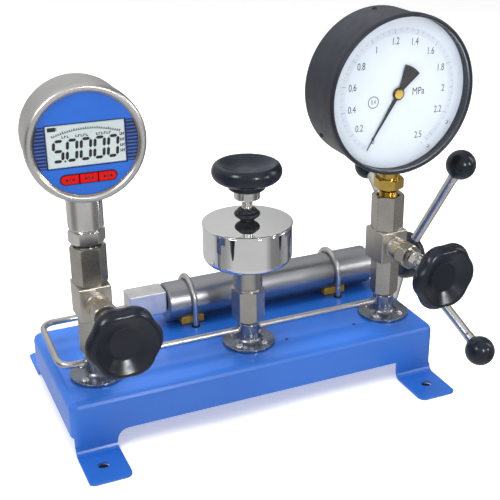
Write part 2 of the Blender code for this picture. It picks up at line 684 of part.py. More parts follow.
def make_handle(looks):
    place = Vector((HUB_X, PUMP_Y, PUMP_Z))
    reach = math.hypot(ARM_REACH, ARM_DISH)
    socket = SPINDLE_RADIUS + GAP
    radius = HUB_RADIUS
    hub = turned([(socket, HUB_BACK), (radius - 4 * MM, HUB_BACK), (radius, HUB_BACK + 4 * MM),
                  (radius, HUB_FRONT - 8 * MM), (radius - 3 * MM, HUB_FRONT - 4 * MM), (12 * MM, HUB_FRONT),
                  (0, HUB_FRONT), (0, SPINDLE_IN_HUB + MM), (socket, SPINDLE_IN_HUB + MM)],
                 MEDIUM, ring=True)
    hub = shifted(hub, rotation=Matrix.Rotation(math.radians(90), 4, "Y"))
    arm_hole = clear_of(ARM_RADIUS, TINY)
    for direction in arm_directions():
        hub = cut(hub, swept([direction * (ARM_START - GAP), direction * 2 * radius], arm_hole, TINY))
    add("handle_hub", hub, looks["bakelite"], location=place)

    arm_mesh = finish_mesh(rod(ARM_RADIUS, ARM_START, reach - ARM_SINK, SMALL), "handle_arm")
    ball = bmesh.new()
    bmesh.ops.create_uvsphere(ball, u_segments=SMALL, v_segments=TINY, radius=BALL_RADIUS)
    hole = rod(arm_hole, -2 * BALL_RADIUS, GAP - ARM_SINK, TINY)
    ball_mesh = finish_mesh(cut(ball, hole), "handle_ball")
    for number, direction in enumerate(arm_directions(), start=1):
        aim = direction.to_track_quat("Z", "Y").to_euler()
        add(f"handle_arm_{number}", arm_mesh, looks["steel"], location=place, rotation=aim)
        add(f"handle_ball_{number}", ball_mesh, looks["bakelite"],
            location=place + direction * reach, rotation=aim)


def make_clamps(looks):
    reach = CYLINDER_RADIUS + GAP + ROD_RADIUS
    leg_bottom = BASE_HEIGHT - 14 * MM
    for side, x in U_BOLT_X.items():
        path = [Vector((x, PUMP_Y - reach, leg_bottom))]
        for y, z in arc((PUMP_Y, PUMP_Z), reach, math.pi, 0, 12):
            path.append(Vector((x, y, z)))
        path.append(Vector((x, PUMP_Y + reach, leg_bottom)))
        add(f"u_bolt_{side}", swept(path, ROD_RADIUS, TINY), looks["steel"])
        half = SADDLE_LENGTH / 2
        saddle = block((x - half, x + half), (PUMP_Y - SADDLE_HALF_WIDTH, PUMP_Y + SADDLE_HALF_WIDTH),
                       (BASE_HEIGHT + GAP, SADDLE_TOP))
        rest = CYLINDER_RADIUS + GAP
        bed = rod(rest, x - SADDLE_LENGTH, x + SADDLE_LENGTH, LARGE)
        bed = shifted(bed, (0, PUMP_Y, PUMP_Z), Matrix.Rotation(math.radians(90), 4, "Y"))
        add(f"saddle_{side}", cut(saddle, bed), looks["amber"])


def make_tubes(material):
    edge = NECK_RADIUS + GAP
    for name, start, end in (("manifold_tube_left", "left", "centre"),
                             ("manifold_tube_right", "centre", "right")):
        path = [Vector((POST_X[start] + edge, POST_Y, TUBE_Z)), Vector((POST_X[end] - edge, POST_Y, TUBE_Z))]
        add(name, swept(path, TUBE_RADIUS, TINY), material)
    bend_x = LOOP_LEFT + LOOP_BEND
    front = arc((bend_x, POST_Y + LOOP_BEND), LOOP_BEND, math.radians(270), math.radians(180), 5)
    rear = arc((bend_x, LOOP_REAR_Y - LOOP_BEND), LOOP_BEND, math.radians(180), math.radians(90), 5)
    path = [Vector((POST_X["left"] - edge, POST_Y, TUBE_Z))]
    path += [Vector((x, y, TUBE_Z)) for x, y in front]
    path += [Vector((x, y, LOOP_REAR_Z)) for x, y in rear]
    path.append(Vector((BLOCK_INLET_START - GAP, LOOP_REAR_Y, LOOP_REAR_Z)))
    add("loop_tube", swept(path, TUBE_RADIUS, TINY), material)


# ---------------------------------------------------------------- oil cup

def make_oil_cup(looks, post):
    outer = CUP_RADIUS - 0.6 * MM
    inner = outer - CUP_WALL
    floor = CUP_BOTTOM + CUP_WALL
    stem_hole = CUP_STEM_RADIUS + MM
    cup = [(stem_hole, CUP_BOTTOM + GAP), (outer - 6 * MM, CUP_BOTTOM + GAP),
           (outer - 1.8 * MM, CUP_BOTTOM + 2 * MM), (outer, CUP_BOTTOM + 6 * MM), (outer, CUP_TOP - GAP),
           (inner, CUP_TOP - GAP), (inner, CUP_BOTTOM + 7 * MM), (inner - 4 * MM, floor), (stem_hole, floor)]
    add("oil_cup", turned(cup, LARGE, ring=True), looks["chrome"], post)

    lid_hole = CUP_STEM_RADIUS + GAP
    lid = [(lid_hole, CUP_TOP), (CUP_RADIUS, CUP_TOP), (CUP_RADIUS, LID_TOP - 0.4 * MM),
           (CUP_RADIUS - 0.4 * MM, LID_TOP), (lid_hole, LID_TOP + 1.5 * MM)]
    add("cup_lid", turned(lid, LARGE, ring=True), looks["chrome"], post)
    low = LID_TOP + 2 * MM
    boot = [(lid_hole, low), (7 * MM, low), (12.5 * MM, low + 4.5 * MM), (13.2 * MM, low + 7 * MM),
            (12 * MM, low + 10 * MM), (8 * MM, low + 12 * MM), (lid_hole, low + 12 * MM)]
    add("cup_boot", turned(boot, SMALL, ring=True), looks["rubber"], post)

    tip = CUP_NEEDLE_RADIUS
    needle = [(0, CUP_NEEDLE_START), (tip, CUP_NEEDLE_START + 6 * MM), (tip, CUP_NEEDLE_END),
              (0, CUP_NEEDLE_END)]
    add("cup_needle", turned(needle, TINY), looks["steel"], post)
    stem = [(0, CUP_NEEDLE_END + GAP), (tip, CUP_NEEDLE_END + GAP), (tip, CUP_BOTTOM + 4 * MM),
            (CUP_STEM_RADIUS, CUP_BOTTOM + 6 * MM), (CUP_STEM_RADIUS, COLLAR_BOTTOM),
            (COLLAR_RADIUS, COLLAR_BOTTOM), (COLLAR_RADIUS, COLLAR_TOP), (CUP_STEM_RADIUS, COLLAR_TOP),
            (CUP_STEM_RADIUS, CUP_STEM_TOP), (0, CUP_STEM_TOP)]
    add("cup_stem", turned(stem, SMALL), looks["nickel"], post)
    bore = CUP_STEM_RADIUS + GAP
    height = WHEEL_TOP - WHEEL_BOTTOM
    wheel = [(bore, WHEEL_BOTTOM)]
    wheel += [(WHEEL_RADIUS * share, WHEEL_BOTTOM + height * up) for share, up in WHEEL_OUTLINE]
    wheel += [(0, CUP_STEM_TOP + GAP), (bore, CUP_STEM_TOP + GAP)]
    add("cup_handwheel", turned(wheel, MEDIUM, ring=True), looks["bakelite"], post)


def make_looks():
    return {
        "blue_paint": look("blue_paint", (0.03, 0.16, 0.62), 0.35, 0.0),
        "nickel": look("nickel", (0.5, 0.48, 0.44), 0.3, 1.0),
        "steel": look("steel", (0.6, 0.6, 0.6), 0.2, 1.0),
        "stainless": look("stainless", (0.62, 0.61, 0.58), 0.3, 1.0),
        "brushed": look("brushed", (0.55, 0.56, 0.58), 0.35, 1.0),
        "chrome": look("chrome", (0.8, 0.8, 0.8), 0.06, 1.0),
        "grey_metal": look("grey_metal", (0.6, 0.6, 0.6), 0.4, 0.8),
        "brass": look("brass", (0.7, 0.48, 0.15), 0.25, 1.0),
        "bakelite": look("bakelite", (0.012, 0.012, 0.015), 0.22, 0.0),
        "rubber": look("rubber", (0.015, 0.016, 0.02), 0.4, 0.0),
        "black_paint": look("black_paint", (0.012, 0.012, 0.014), 0.3, 0.0),
        "blue_print": look("blue_print", (0.03, 0.2, 0.68), 0.4, 0.0),
        "display": look("display", (0.6, 0.68, 0.68), 0.25, 0.0),
        "red_rubber": look("red_rubber", (0.75, 0.01, 0.01), 0.4, 0.0),
        "dial": look("dial", (0.7, 0.8, 0.9), 0.4, 0.0),
        "glass": look("glass", (0.9, 0.95, 1.0), 0.05, 0.0),
        "amber": look("amber", (0.7, 0.45, 0.03), 0.4, 0.0),
    }


def main():
    clear_scene()
    looks = make_looks()
    make_base(looks["blue_paint"])
    posts = {}
    for side, x in POST_X.items():
        posts[side] = frame(f"post_{side}", (x, POST_Y, 0))
        openings = {"left": (-1, 1), "centre": (-1, 1), "right": (-1,)}[side]
        make_flange(f"post_flange_{side}", looks["nickel"], posts[side], openings)
    for side in ("left", "right"):
        make_post_body(f"post_body_{side}", looks["nickel"], posts[side], BLOCK_BOTTOM,
                       BODY_CORNER_RADIUS, HEX_TURN[side])
        make_valve(side, looks, posts[side])
        make_sleeve(side, looks["nickel"], posts[side], HEX_TURN[side])
    make_post_body("post_body_centre", looks["nickel"], posts["centre"], CENTRE_HEX_TOP,
                   CENTRE_CORNER_RADIUS, HEX_TURN["centre"], (CENTRE_NECK_RADIUS, CUP_BOTTOM))
    make_digital_gauge(looks, posts["left"])
    make_analog_gauge(looks, posts["right"])
    make_pump(looks)
    make_handle(looks)
    make_clamps(looks)
    make_tubes(looks["steel"])
    make_oil_cup(looks, posts["centre"])


main()
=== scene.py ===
"""Looks of the bench hydraulic hand pump: fine pieces, materials, stage, lights and camera.

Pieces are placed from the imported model's own boxes and joints. Metres, +Z up.
"""
import json
import math

import bmesh
import bpy
from mathutils import Matrix, Vector


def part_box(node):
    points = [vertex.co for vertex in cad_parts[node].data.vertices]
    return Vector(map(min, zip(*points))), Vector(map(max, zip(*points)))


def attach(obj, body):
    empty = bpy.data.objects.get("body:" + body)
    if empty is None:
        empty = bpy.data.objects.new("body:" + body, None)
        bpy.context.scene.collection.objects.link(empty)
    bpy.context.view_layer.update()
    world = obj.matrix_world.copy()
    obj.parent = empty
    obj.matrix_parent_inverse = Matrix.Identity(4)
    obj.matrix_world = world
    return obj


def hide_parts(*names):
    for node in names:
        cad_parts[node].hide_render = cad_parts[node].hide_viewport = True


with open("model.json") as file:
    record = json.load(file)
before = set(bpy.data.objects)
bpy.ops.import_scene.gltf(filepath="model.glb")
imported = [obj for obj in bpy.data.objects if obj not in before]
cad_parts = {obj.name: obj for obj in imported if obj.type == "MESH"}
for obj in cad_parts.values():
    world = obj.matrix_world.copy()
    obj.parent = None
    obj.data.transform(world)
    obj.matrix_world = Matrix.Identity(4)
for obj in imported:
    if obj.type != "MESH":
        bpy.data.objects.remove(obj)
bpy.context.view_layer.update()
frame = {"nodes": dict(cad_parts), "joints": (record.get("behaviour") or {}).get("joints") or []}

MM = 0.001
FINE = 128                          # flats on the largest round pieces
ROUND = 72
SLIM = 32
GAP = 0.3 * MM

ROOT = "pump_frame"
joints = {joint["name"]: joint for joint in frame["joints"]}


def low(node):
    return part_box(node)[0]


def high(node):
    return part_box(node)[1]


def middle(node):
    return (low(node) + high(node)) / 2


def width(node, axis):
    return (high(node) - low(node))[axis]


# ---------------------------------------------------------------- mesh helpers

def rounded(profile, radius, closed=False):
    """The outline with each corner turned into a short curve no larger than radius."""
    if radius == 0:
        return [Vector(corner) for corner in profile]
    points = []
    count = len(profile)
    for index, corner in enumerate(profile):
        corner = Vector(corner)
        if corner.x == 0 or (not closed and index in (0, count - 1)):
            points.append(corner)
            continue
        before = Vector(profile[index - 1]) - corner
        after = Vector(profile[(index + 1) % count]) - corner
        reach = min(radius, 0.45 * before.length, 0.45 * after.length)
        start = corner + before.normalized() * reach
        end = corner + after.normalized() * reach
        for share in (0, 0.25, 0.5, 0.75, 1):
            points.append(start * (1 - share) ** 2 + corner * 2 * share * (1 - share) + end * share ** 2)
    return points


def bridge_rows(bm, rows, sides, closed=False):
    pairs = list(zip(rows, rows[1:]))
    if closed:
        pairs.append((rows[-1], rows[0]))
    for lower, upper in pairs:
        for step in range(sides):
            after = (step + 1) % sides
            corners = [lower[step % len(lower)], lower[after % len(lower)], upper[after % len(upper)],
                    upper[step % len(upper)]]
            unique = list(dict.fromkeys(corners))
            if len(unique) > 2:
                bm.faces.new(unique)


def lathe(profile, sides=ROUND, fillet=0.4 * MM, closed=False, shape=None):
    """Solid of revolution about Z. shape(radius, angle) can make the outline other than round."""
    bm = bmesh.new()
    rows = []
    for radius, height in rounded(profile, fillet, closed):
        if radius < 1e-7:
            rows.append([bm.verts.new((0, 0, height))])
            continue
        row = []
        for step in range(sides):
            angle = 2 * math.pi * step / sides
            reach = shape(radius, angle) if shape else radius
            row.append(bm.verts.new((reach * math.cos(angle), reach * math.sin(angle), height)))
        rows.append(row)
    bridge_rows(bm, rows, sides, closed)
    bmesh.ops.recalc_face_normals(bm, faces=bm.faces)
    return bm


def turned(profile, *finish, **options):
    """Lathe work that reaches the axis on flat ends."""
    return lathe([(0, profile[0][1]), *profile, (0, profile[-1][1])], *finish, **options)


def round_bar(radius, bottom, top, *finish, **options):
    return turned([(radius, bottom), (radius, top)], *finish, **options)


def round_ring(inner, outer, bottom, top, *finish, **options):
    return lathe([(inner, bottom), (outer, bottom), (outer, top), (inner, top)], *finish, closed=True,
            **options)


def prism(outline, bottom, top):
    bm = bmesh.new()
    lower = [bm.verts.new((x, y, bottom)) for x, y in outline]
    upper = [bm.verts.new((x, y, top)) for x, y in outline]
    bm.faces.new(lower)
    bm.faces.new(upper)
    bridge_rows(bm, [lower, upper], len(outline))
    bmesh.ops.recalc_face_normals(bm, faces=bm.faces)
    return bm


def rounded_block(x_range, y_range, z_range, bevel, segments=3):
    outline = [(x_range[0], y_range[0]), (x_range[1], y_range[0]), (x_range[1], y_range[1]),
            (x_range[0], y_range[1])]
    bm = prism(outline, z_range[0], z_range[1])
    if bevel:
        bmesh.ops.bevel(bm, geom=bm.edges[:], offset=bevel, segments=segments, profile=0.5, affect="EDGES")
    return bm


def polygon(sides, radius, turn=0.0):
    return [(radius * math.cos(turn + 2 * math.pi * step / sides),
            radius * math.sin(turn + 2 * math.pi * step / sides)) for step in range(sides)]


def arc(centre, radius, start, end, steps):
    """Points along an arc; angles in degrees."""
    points = []
    for step in range(steps + 1):
        angle = math.radians(start + (end - start) * step / steps)
        points.append((centre[0] + radius * math.cos(angle), centre[1] + radius * math.sin(angle)))
    return points


def bent(corners, radius, steps=10):
    """A 3-D path through the corners, each corner turned into an arc-like curve."""
    path = [corners[0]]
    for before, corner, after in zip(corners, corners[1:], corners[2:]):
        start = corner + (before - corner).normalized() * radius
        end = corner + (after - corner).normalized() * radius
        centre = (start + end) / 2 + ((start + end) / 2 - corner)
        for step in range(steps + 1):
            spoke = (start - centre).lerp(end - centre, step / steps)
            path.append(centre + spoke.normalized() * (start - centre).length)
    path.append(corners[-1])
    return path


def pipe(path, radius, sides=SLIM):
    """Round bar along a path, with flat ends."""
    bm = bmesh.new()
    rows = []
    side = None
    for index, point in enumerate(path):
        forward = path[min(index + 1, len(path) - 1)] - path[max(index - 1, 0)]
        forward.normalize()
        if side is None:
            side = forward.orthogonal().normalized()
        side = (side - forward * side.dot(forward)).normalized()
        other = forward.cross(side)
        row = []
        for step in range(sides):
            angle = 2 * math.pi * step / sides
            row.append(bm.verts.new(point + radius * (side * math.cos(angle) + other * math.sin(angle))))
        rows.append(row)
    bm.faces.new(rows[0])
    bm.faces.new(rows[-1])
    bridge_rows(bm, rows, sides)
    bmesh.ops.recalc_face_normals(bm, faces=bm.faces)
    return bm


def moved(bm, matrix):
    bmesh.ops.transform(bm, matrix=matrix, verts=bm.verts)
    return bm


def mm(*corners):
    """A profile given in millimetres."""
    return [(across * MM, along * MM) for across, along in corners]


def at(x, y, z):
    return Matrix.Translation((x, y, z))


def spun(degrees, axis):
    return Matrix.Rotation(math.radians(degrees), 4, axis)


def joined(*parts):
    """Several closed shells in one mesh."""
    whole = bmesh.new()
    for bm in parts:
        mesh = bpy.data.meshes.new("shell")
        bm.to_mesh(mesh)
        bm.free()
        whole.from_mesh(mesh)
        bpy.data.meshes.remove(mesh)
    return whole


def boolean(first, second, operation):
    pieces = []
    for bm in (first, second):
        mesh = bpy.data.meshes.new("operand")
        bm.to_mesh(mesh)
        bm.free()
        operand = bpy.data.objects.new("operand", mesh)
        bpy.context.scene.collection.objects.link(operand)
        pieces.append(operand)
    modifier = pieces[0].modifiers.new("cut", "BOOLEAN")
    modifier.operation = operation
    modifier.solver = "EXACT"
    modifier.object = pieces[1]
    evaluated = pieces[0].evaluated_get(bpy.context.evaluated_depsgraph_get())
    result = bmesh.new()
    result.from_mesh(bpy.data.meshes.new_from_object(evaluated))
    for operand in pieces:
        bpy.data.objects.remove(operand, do_unlink=True)
    return result


def cut(first, *tools):
    for tool in tools:
        first = boolean(first, tool, "DIFFERENCE")
    return first


def hexagon(corner, bottom, top, low_chamfer, high_chamfer, turn=0.0):
    """Hexagonal bar whose ends are turned down to a cone; a chamfer is (end radius, length)."""
    bar = prism(polygon(6, corner, turn), bottom, top)
    upright = [edge for edge in bar.edges if abs(edge.verts[0].co.z - edge.verts[1].co.z) > MM]
    bmesh.ops.bevel(bar, geom=upright, offset=0.35 * MM, segments=3, profile=0.5, affect="EDGES")
    envelope = turned([(low_chamfer[0], bottom), (1.02 * corner, bottom + low_chamfer[1]),
            (1.02 * corner, top - high_chamfer[1]), (high_chamfer[0], top)], FINE, 0.3 * MM)
    return boolean(bar, envelope, "INTERSECT")


def thread(radius, bottom, top, pitch, depth):
    """Ridged rod that reads as a screw thread."""
    profile = [(0, bottom)]
    count = int((top - bottom) / pitch)
    for turn in range(count):
        height = bottom + turn * pitch
        profile.append((radius - depth, height + 0.1 * pitch))
        profile.append((radius, height + 0.5 * pitch))
        profile.append((radius - depth, height + 0.9 * pitch))
    profile.append((0, top))
    return lathe(profile, 48, 0.05 * MM)


def piece(name, bm, material, body=ROOT, replaces=(), sharp=35):
    """Make an object from a bmesh in place, shade it, and tie it to the frame."""
    mesh = bpy.data.meshes.new(name)
    bmesh.ops.remove_doubles(bm, verts=bm.verts, dist=1e-7)
    bm.to_mesh(mesh)
    bm.free()
    mesh.shade_smooth()
    mesh.set_sharp_from_angle(angle=math.radians(sharp))
    mesh.materials.append(material)
    item = bpy.data.objects.new(name, mesh)
    bpy.context.scene.collection.objects.link(item)
    item.modifiers.new("even shading", "WEIGHTED_NORMAL").keep_sharp = True
    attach(item, body)
    if replaces:
        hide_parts(*replaces)
    return item


def refinish(node, material):
    """Give a CAD node that stays in view its final material."""
    slots = frame["nodes"][node].data.materials
    slots.clear()
    slots.append(material)


def text_mesh(text, size, depth, stretch):
    """A bmesh of plain numerals or letters, centred on the origin in the XY plane."""
    curve = bpy.data.curves.new("label", "FONT")
    curve.body = text
    curve.size = size
    curve.extrude = depth / 2
    curve.align_x = "CENTER"
    curve.align_y = "CENTER"
    holder = bpy.data.objects.new("label", curve)
    bpy.context.scene.collection.objects.link(holder)
    evaluated = holder.evaluated_get(bpy.context.evaluated_depsgraph_get())
    mesh = bpy.data.meshes.new_from_object(evaluated)
    bm = bmesh.new()
    bm.from_mesh(mesh)
    bpy.data.objects.remove(holder, do_unlink=True)
    bpy.data.curves.remove(curve)
    bmesh.ops.remove_doubles(bm, verts=bm.verts, dist=1e-7)
    return moved(bm, Matrix.Diagonal((stretch, 1, 1, 1)))


# ---------------------------------------------------------------- materials

def look(name, colour, roughness, metallic=0.0, **sockets):
    material = bpy.data.materials.new(name)
    material.use_nodes = True
    shader = material.node_tree.nodes["Principled BSDF"]
    shader.inputs["Base Color"].default_value = (*colour, 1)
    shader.inputs["Roughness"].default_value = roughness
    shader.inputs["Metallic"].default_value = metallic
    for socket, value in sockets.items():
        shader.inputs[socket.replace("_", " ")].default_value = value
    return material


def noise(material, scale, stretch=(1, 1, 1), detail=3.0):
    """Noise in object space; stretch scales it along each axis."""
    nodes = material.node_tree.nodes
    links = material.node_tree.links
    place = nodes.new("ShaderNodeTexCoord")
    mapping = nodes.new("ShaderNodeMapping")
    mapping.inputs["Scale"].default_value = stretch
    texture = nodes.new("ShaderNodeTexNoise")
    texture.inputs["Scale"].default_value = scale
    texture.inputs["Detail"].default_value = detail
    links.new(place.outputs["Object"], mapping.inputs["Vector"])
    links.new(mapping.outputs["Vector"], texture.inputs["Vector"])
    return texture.outputs["Fac"]


def vary_roughness(material, source, smooth, rough):
    nodes = material.node_tree.nodes
    scale = nodes.new("ShaderNodeMapRange")
    scale.inputs["From Min"].default_value = 0.3
    scale.inputs["From Max"].default_value = 0.7
    scale.inputs["To Min"].default_value = smooth
    scale.inputs["To Max"].default_value = rough
    links = material.node_tree.links
    links.new(source, scale.inputs["Value"])
    links.new(scale.outputs["Result"], nodes["Principled BSDF"].inputs["Roughness"])


def vary_colour(material, source, first, second):
    nodes = material.node_tree.nodes
    ramp = nodes.new("ShaderNodeValToRGB")
    ramp.color_ramp.elements[0].position = 0.35
    ramp.color_ramp.elements[0].color = (*first, 1)
    ramp.color_ramp.elements[1].position = 0.65
    ramp.color_ramp.elements[1].color = (*second, 1)
    links = material.node_tree.links
    links.new(source, ramp.inputs["Fac"])
    links.new(ramp.outputs["Color"], nodes["Principled BSDF"].inputs["Base Color"])


def add_bump(material, source, distance, strength=1.0):
    nodes = material.node_tree.nodes
    links = material.node_tree.links
    shader = nodes["Principled BSDF"]
    bump = nodes.new("ShaderNodeBump")
    bump.inputs["Distance"].default_value = distance
    bump.inputs["Strength"].default_value = strength
    if shader.inputs["Normal"].is_linked:
        links.new(shader.inputs["Normal"].links[0].from_socket, bump.inputs["Normal"])
    links.new(source, bump.inputs["Height"])
    links.new(bump.outputs["Normal"], shader.inputs["Normal"])


def turned_metal(name, colour, roughness, stretch, groove, patchy):
    """Metal with fine tool marks along the directions that stretch leaves long."""
    material = look(name, colour, roughness, 1.0)
    lines = noise(material, 900, stretch, 4.0)
    vary_roughness(material, lines, roughness * 0.8, roughness * 1.25)
    dark = [channel * (1 - patchy) for channel in colour]
    light = [min(1, channel * (1 + patchy)) for channel in colour]
    vary_colour(material, noise(material, 60, (1, 1, 1), 2.0), dark, light)
    add_bump(material, lines, groove)
    return material


def make_looks():
    looks = {}
    paint = look("blue_paint", (0.016, 0.138, 0.58), 0.36, Coat_Weight=0.25, Coat_Roughness=0.15)
    vary_colour(paint, noise(paint, 9), (0.014, 0.13, 0.555), (0.018, 0.146, 0.605))
    add_bump(paint, noise(paint, 260, detail=1.0), 0.008 * MM, 0.4)
    vary_roughness(paint, noise(paint, 40), 0.33, 0.4)
    looks["paint"] = paint
    metals = (("nickel", "satin_nickel", (0.48, 0.46, 0.42), 0.28, (1, 1, 6), 0.0012 * MM, 0.06),
            ("block", "ground_nickel", (0.6, 0.57, 0.52), 0.32, (6, 1, 1), 0.0015 * MM, 0.06),
            ("flange", "polished_flange", (0.26, 0.28, 0.33), 0.28, (1, 1, 1), 0.002 * MM, 0.06),
            ("tube", "polished_tube", (0.62, 0.61, 0.6), 0.28, (1, 8, 8), 0.002 * MM, 0.06),
            ("arm", "polished_rod", (0.7, 0.68, 0.65), 0.2, (4, 1, 1), 0.002 * MM, 0.06),
            ("case", "brushed_case", (0.64, 0.63, 0.61), 0.3, (1, 25, 1), 0.006 * MM, 0.03),
            ("stem", "bright_stem", (0.72, 0.71, 0.69), 0.17, (1, 1, 12), 0.003 * MM, 0.06),
            ("cylinder", "honed_cylinder", (0.4, 0.41, 0.43), 0.33, (10, 1, 1), 0.004 * MM, 0.03),
            ("inlet", "milled_alloy", (0.8, 0.8, 0.8), 0.5, (1, 8, 1), 0.006 * MM, 0.06),
            ("chrome", "mirror_chrome", (0.86, 0.86, 0.86), 0.035, (1, 1, 1), 0.0003 * MM, 0.01),
            ("screw", "zinc_screw", (0.7, 0.7, 0.7), 0.2, (1, 1, 1), 0.002 * MM, 0.06),
            ("brass", "machined_brass", (0.66, 0.45, 0.11), 0.2, (1, 1, 8), 0.004 * MM, 0.06))
    for key, name, colour, roughness, stretch, groove, patchy in metals:
        looks[key] = turned_metal(name, colour, roughness, stretch, groove, patchy)
    blacks = (
        ("bakelite", "moulded_black", (0.009, 0.012, 0.019), 0.16, 0.27),
        ("enamel", "black_enamel", (0.015, 0.018, 0.026), 0.3, 0.42),
        ("rubber", "black_rubber", (0.012, 0.015, 0.022), 0.34, 0.5))
    for key, name, colour, smooth, rough in blacks:
        material = look(name, colour, rough, Specular_IOR_Level=0.35)
        vary_roughness(material, noise(material, 90), smooth, rough)
        vary_colour(material, noise(material, 40), colour, [1.35 * channel for channel in colour])
        add_bump(material, noise(material, 300, detail=1.0), 0.004 * MM, 0.4)
        looks[key] = material

    face = look("printed_face", (0.012, 0.13, 0.6), 0.45, Specular_IOR_Level=0.3)
    vary_colour(face, noise(face, 30), (0.01, 0.125, 0.58), (0.014, 0.138, 0.63))
    add_bump(face, noise(face, 1500), 0.004 * MM, 0.4)
    looks["face"] = face

    prints = (
        ("navy", "navy_print", 0.35, 60, (0.005, 0.012, 0.06), (0.004, 0.01, 0.05), (0.007, 0.016, 0.075)),
        ("rib", "rib_print", 0.35, 60, (0.02, 0.09, 0.42), (0.017, 0.08, 0.38), (0.024, 0.1, 0.46)),
        ("ink", "printed_black", 0.45, 200, (0.008, 0.008, 0.01), (0.006, 0.006, 0.008),
         (0.012, 0.012, 0.014)),
        ("grey_ink", "printed_grey", 0.5, 200, (0.2, 0.22, 0.26), (0.17, 0.19, 0.23), (0.24, 0.26, 0.3)),
        ("band", "dial_band", 0.3, 25, (0.66, 0.73, 0.83), (0.64, 0.71, 0.81), (0.68, 0.75, 0.85)))
    for key, name, roughness, scale, colour, darker, lighter in prints:
        looks[key] = look(name, colour, roughness)
        vary_colour(looks[key], noise(looks[key], scale), darker, lighter)
    display = look("display_glass", (0.57, 0.65, 0.66), 0.22, Coat_Weight=0.6, Coat_Roughness=0.04)
    vary_colour(display, noise(display, 14), (0.55, 0.635, 0.645), (0.6, 0.67, 0.68))
    looks["display"] = display
    red = look("key_rubber", (0.7, 0.001, 0.002), 0.5, Specular_IOR_Level=0.1)
    vary_colour(red, noise(red, 120), (0.66, 0.001, 0.002), (0.74, 0.002, 0.003))
    add_bump(red, noise(red, 1200), 0.006 * MM, 0.5)
    looks["key"] = red
    dial = look("dial_enamel", (0.72, 0.8, 0.9), 0.4)
    vary_colour(dial, noise(dial, 12), (0.70, 0.785, 0.89), (0.74, 0.815, 0.91))
    add_bump(dial, noise(dial, 1500), 0.003 * MM, 0.3)
    looks["dial"] = dial
    glass = look("clear_window", (1, 1, 1), 0.02, Transmission_Weight=1.0, IOR=1.12)
    vary_roughness(glass, noise(glass, 20), 0.01, 0.03)
    looks["glass"] = glass
    amber = look("amber_polyurethane", (0.72, 0.42, 0.03), 0.38, Subsurface_Weight=0.25)
    amber.node_tree.nodes["Principled BSDF"].inputs["Subsurface Scale"].default_value = 4 * MM
    vary_colour(amber, noise(amber, 110), (0.6, 0.32, 0.02), (0.8, 0.5, 0.05))
    add_bump(amber, noise(amber, 300), 0.05 * MM, 0.5)
    looks["amber"] = amber
    return looks


looks = make_looks()


# ---------------------------------------------------------------- base and flanges

def make_base():
    refinish("base_cover", looks["paint"])
    plate_top = high("base_cover").z
    plugs = []
    for x, y in ((42, -46), (123, -46)):
        plug = lathe(mm((0, -1), (1.5, -1), (1.5, 0.5), (0, 0.7)), SLIM, 0.2 * MM)
        plugs.append(moved(plug, at(x * MM, y * MM, plate_top)))
    piece("plate_plugs", joined(*plugs), looks["rubber"])


def socket_screw(head, rise):
    """Domed screw head with a six-sided recess, its underside at z = 0."""
    body = turned([(head, 0), (head, 0.35 * rise), (0.62 * head, rise)], 40, 0.3 * MM)
    recess = prism(polygon(6, 0.52 * head), 0.25 * rise, 2 * rise)
    return cut(body, recess)


def make_flange(side):
    node = f"post_flange_{side}"
    bottom = low(node).z
    top = high(node).z
    radius = width(node, 0) / 2
    plate = bottom + 3 * MM
    neck = 11 * MM
    place = at(middle(node).x, middle(node).y, 0)
    profile = [(0, bottom), (radius, bottom), (radius, plate), (neck + 4.5 * MM, plate),
            (neck + 2 * MM, plate + 1.2 * MM), (neck + 0.5 * MM, plate + 3 * MM), (neck, plate + 6 * MM),
            (neck, top - MM), (neck - 0.7 * MM, top), (0, top)]
    flange = lathe(profile, FINE, 0.55 * MM)
    piece(f"flange_{side}", moved(flange, place), looks["flange"], replaces=[node])
    screws = []
    for quarter in range(4):
        spin = spun(37 + 90 * quarter, "Z")
        screws.append(moved(socket_screw(4.2 * MM, 1.9 * MM), place @ spin @ at(19.5 * MM, 0, plate)))
    piece(f"flange_screws_{side}", joined(*screws), looks["screw"])


# ---------------------------------------------------------------- posts and valves

def flat_turn(node):
    """Turn of a hexagonal node about Z, from the corner that lies furthest towards +X."""
    centre = middle(node)
    corners = [vertex.co - centre for vertex in frame["nodes"][node].data.vertices]
    furthest = max(corners, key=lambda corner: (round(corner.xy.length, 6), corner.x))
    return math.atan2(furthest.y, furthest.x)


def make_post_body(side):
    node = f"post_body_{side}"
    bottom = low(node).z
    top = high(node).z
    corner = 15.3 * MM
    bar = hexagon(corner, bottom, top, (11.2 * MM, 5 * MM), (14.3 * MM, 0.6 * MM), flat_turn(node))
    place = at(*middle(node).xy, 0)
    piece(f"post_{side}", moved(bar, place), looks["nickel"], replaces=[node])


def make_cup_post():
    node = "post_body_centre"
    bottom = low(node).z
    top = high(node).z
    hex_top = 120 * MM
    bar = hexagon(17.3 * MM, bottom, hex_top, (11.5 * MM, 6.5 * MM), (15.2 * MM, 1.6 * MM), flat_turn(node))
    neck = turned([(13.6 * MM, hex_top - 0.5 * MM), (13.6 * MM, hex_top + 2 * MM),
            (15 * MM, hex_top + 3 * MM), (15 * MM, top)], FINE, 0.5 * MM)
    place = at(*middle(node).xy, 0)
    piece("cup_post", moved(joined(bar, neck), place), looks["nickel"], replaces=[node])


def valve_place(side):
    """Local frame of a valve: X to the right, Y up, Z outwards along the stem."""
    joint = joints[f"valve_knob_turn_{side}"]
    turn = math.atan2(joint["axis"][0], -joint["axis"][1])
    spin = Matrix.Rotation(turn, 4, "Z")
    return Matrix.Translation(joint["pos_m"]) @ spin @ spun(90, "X")


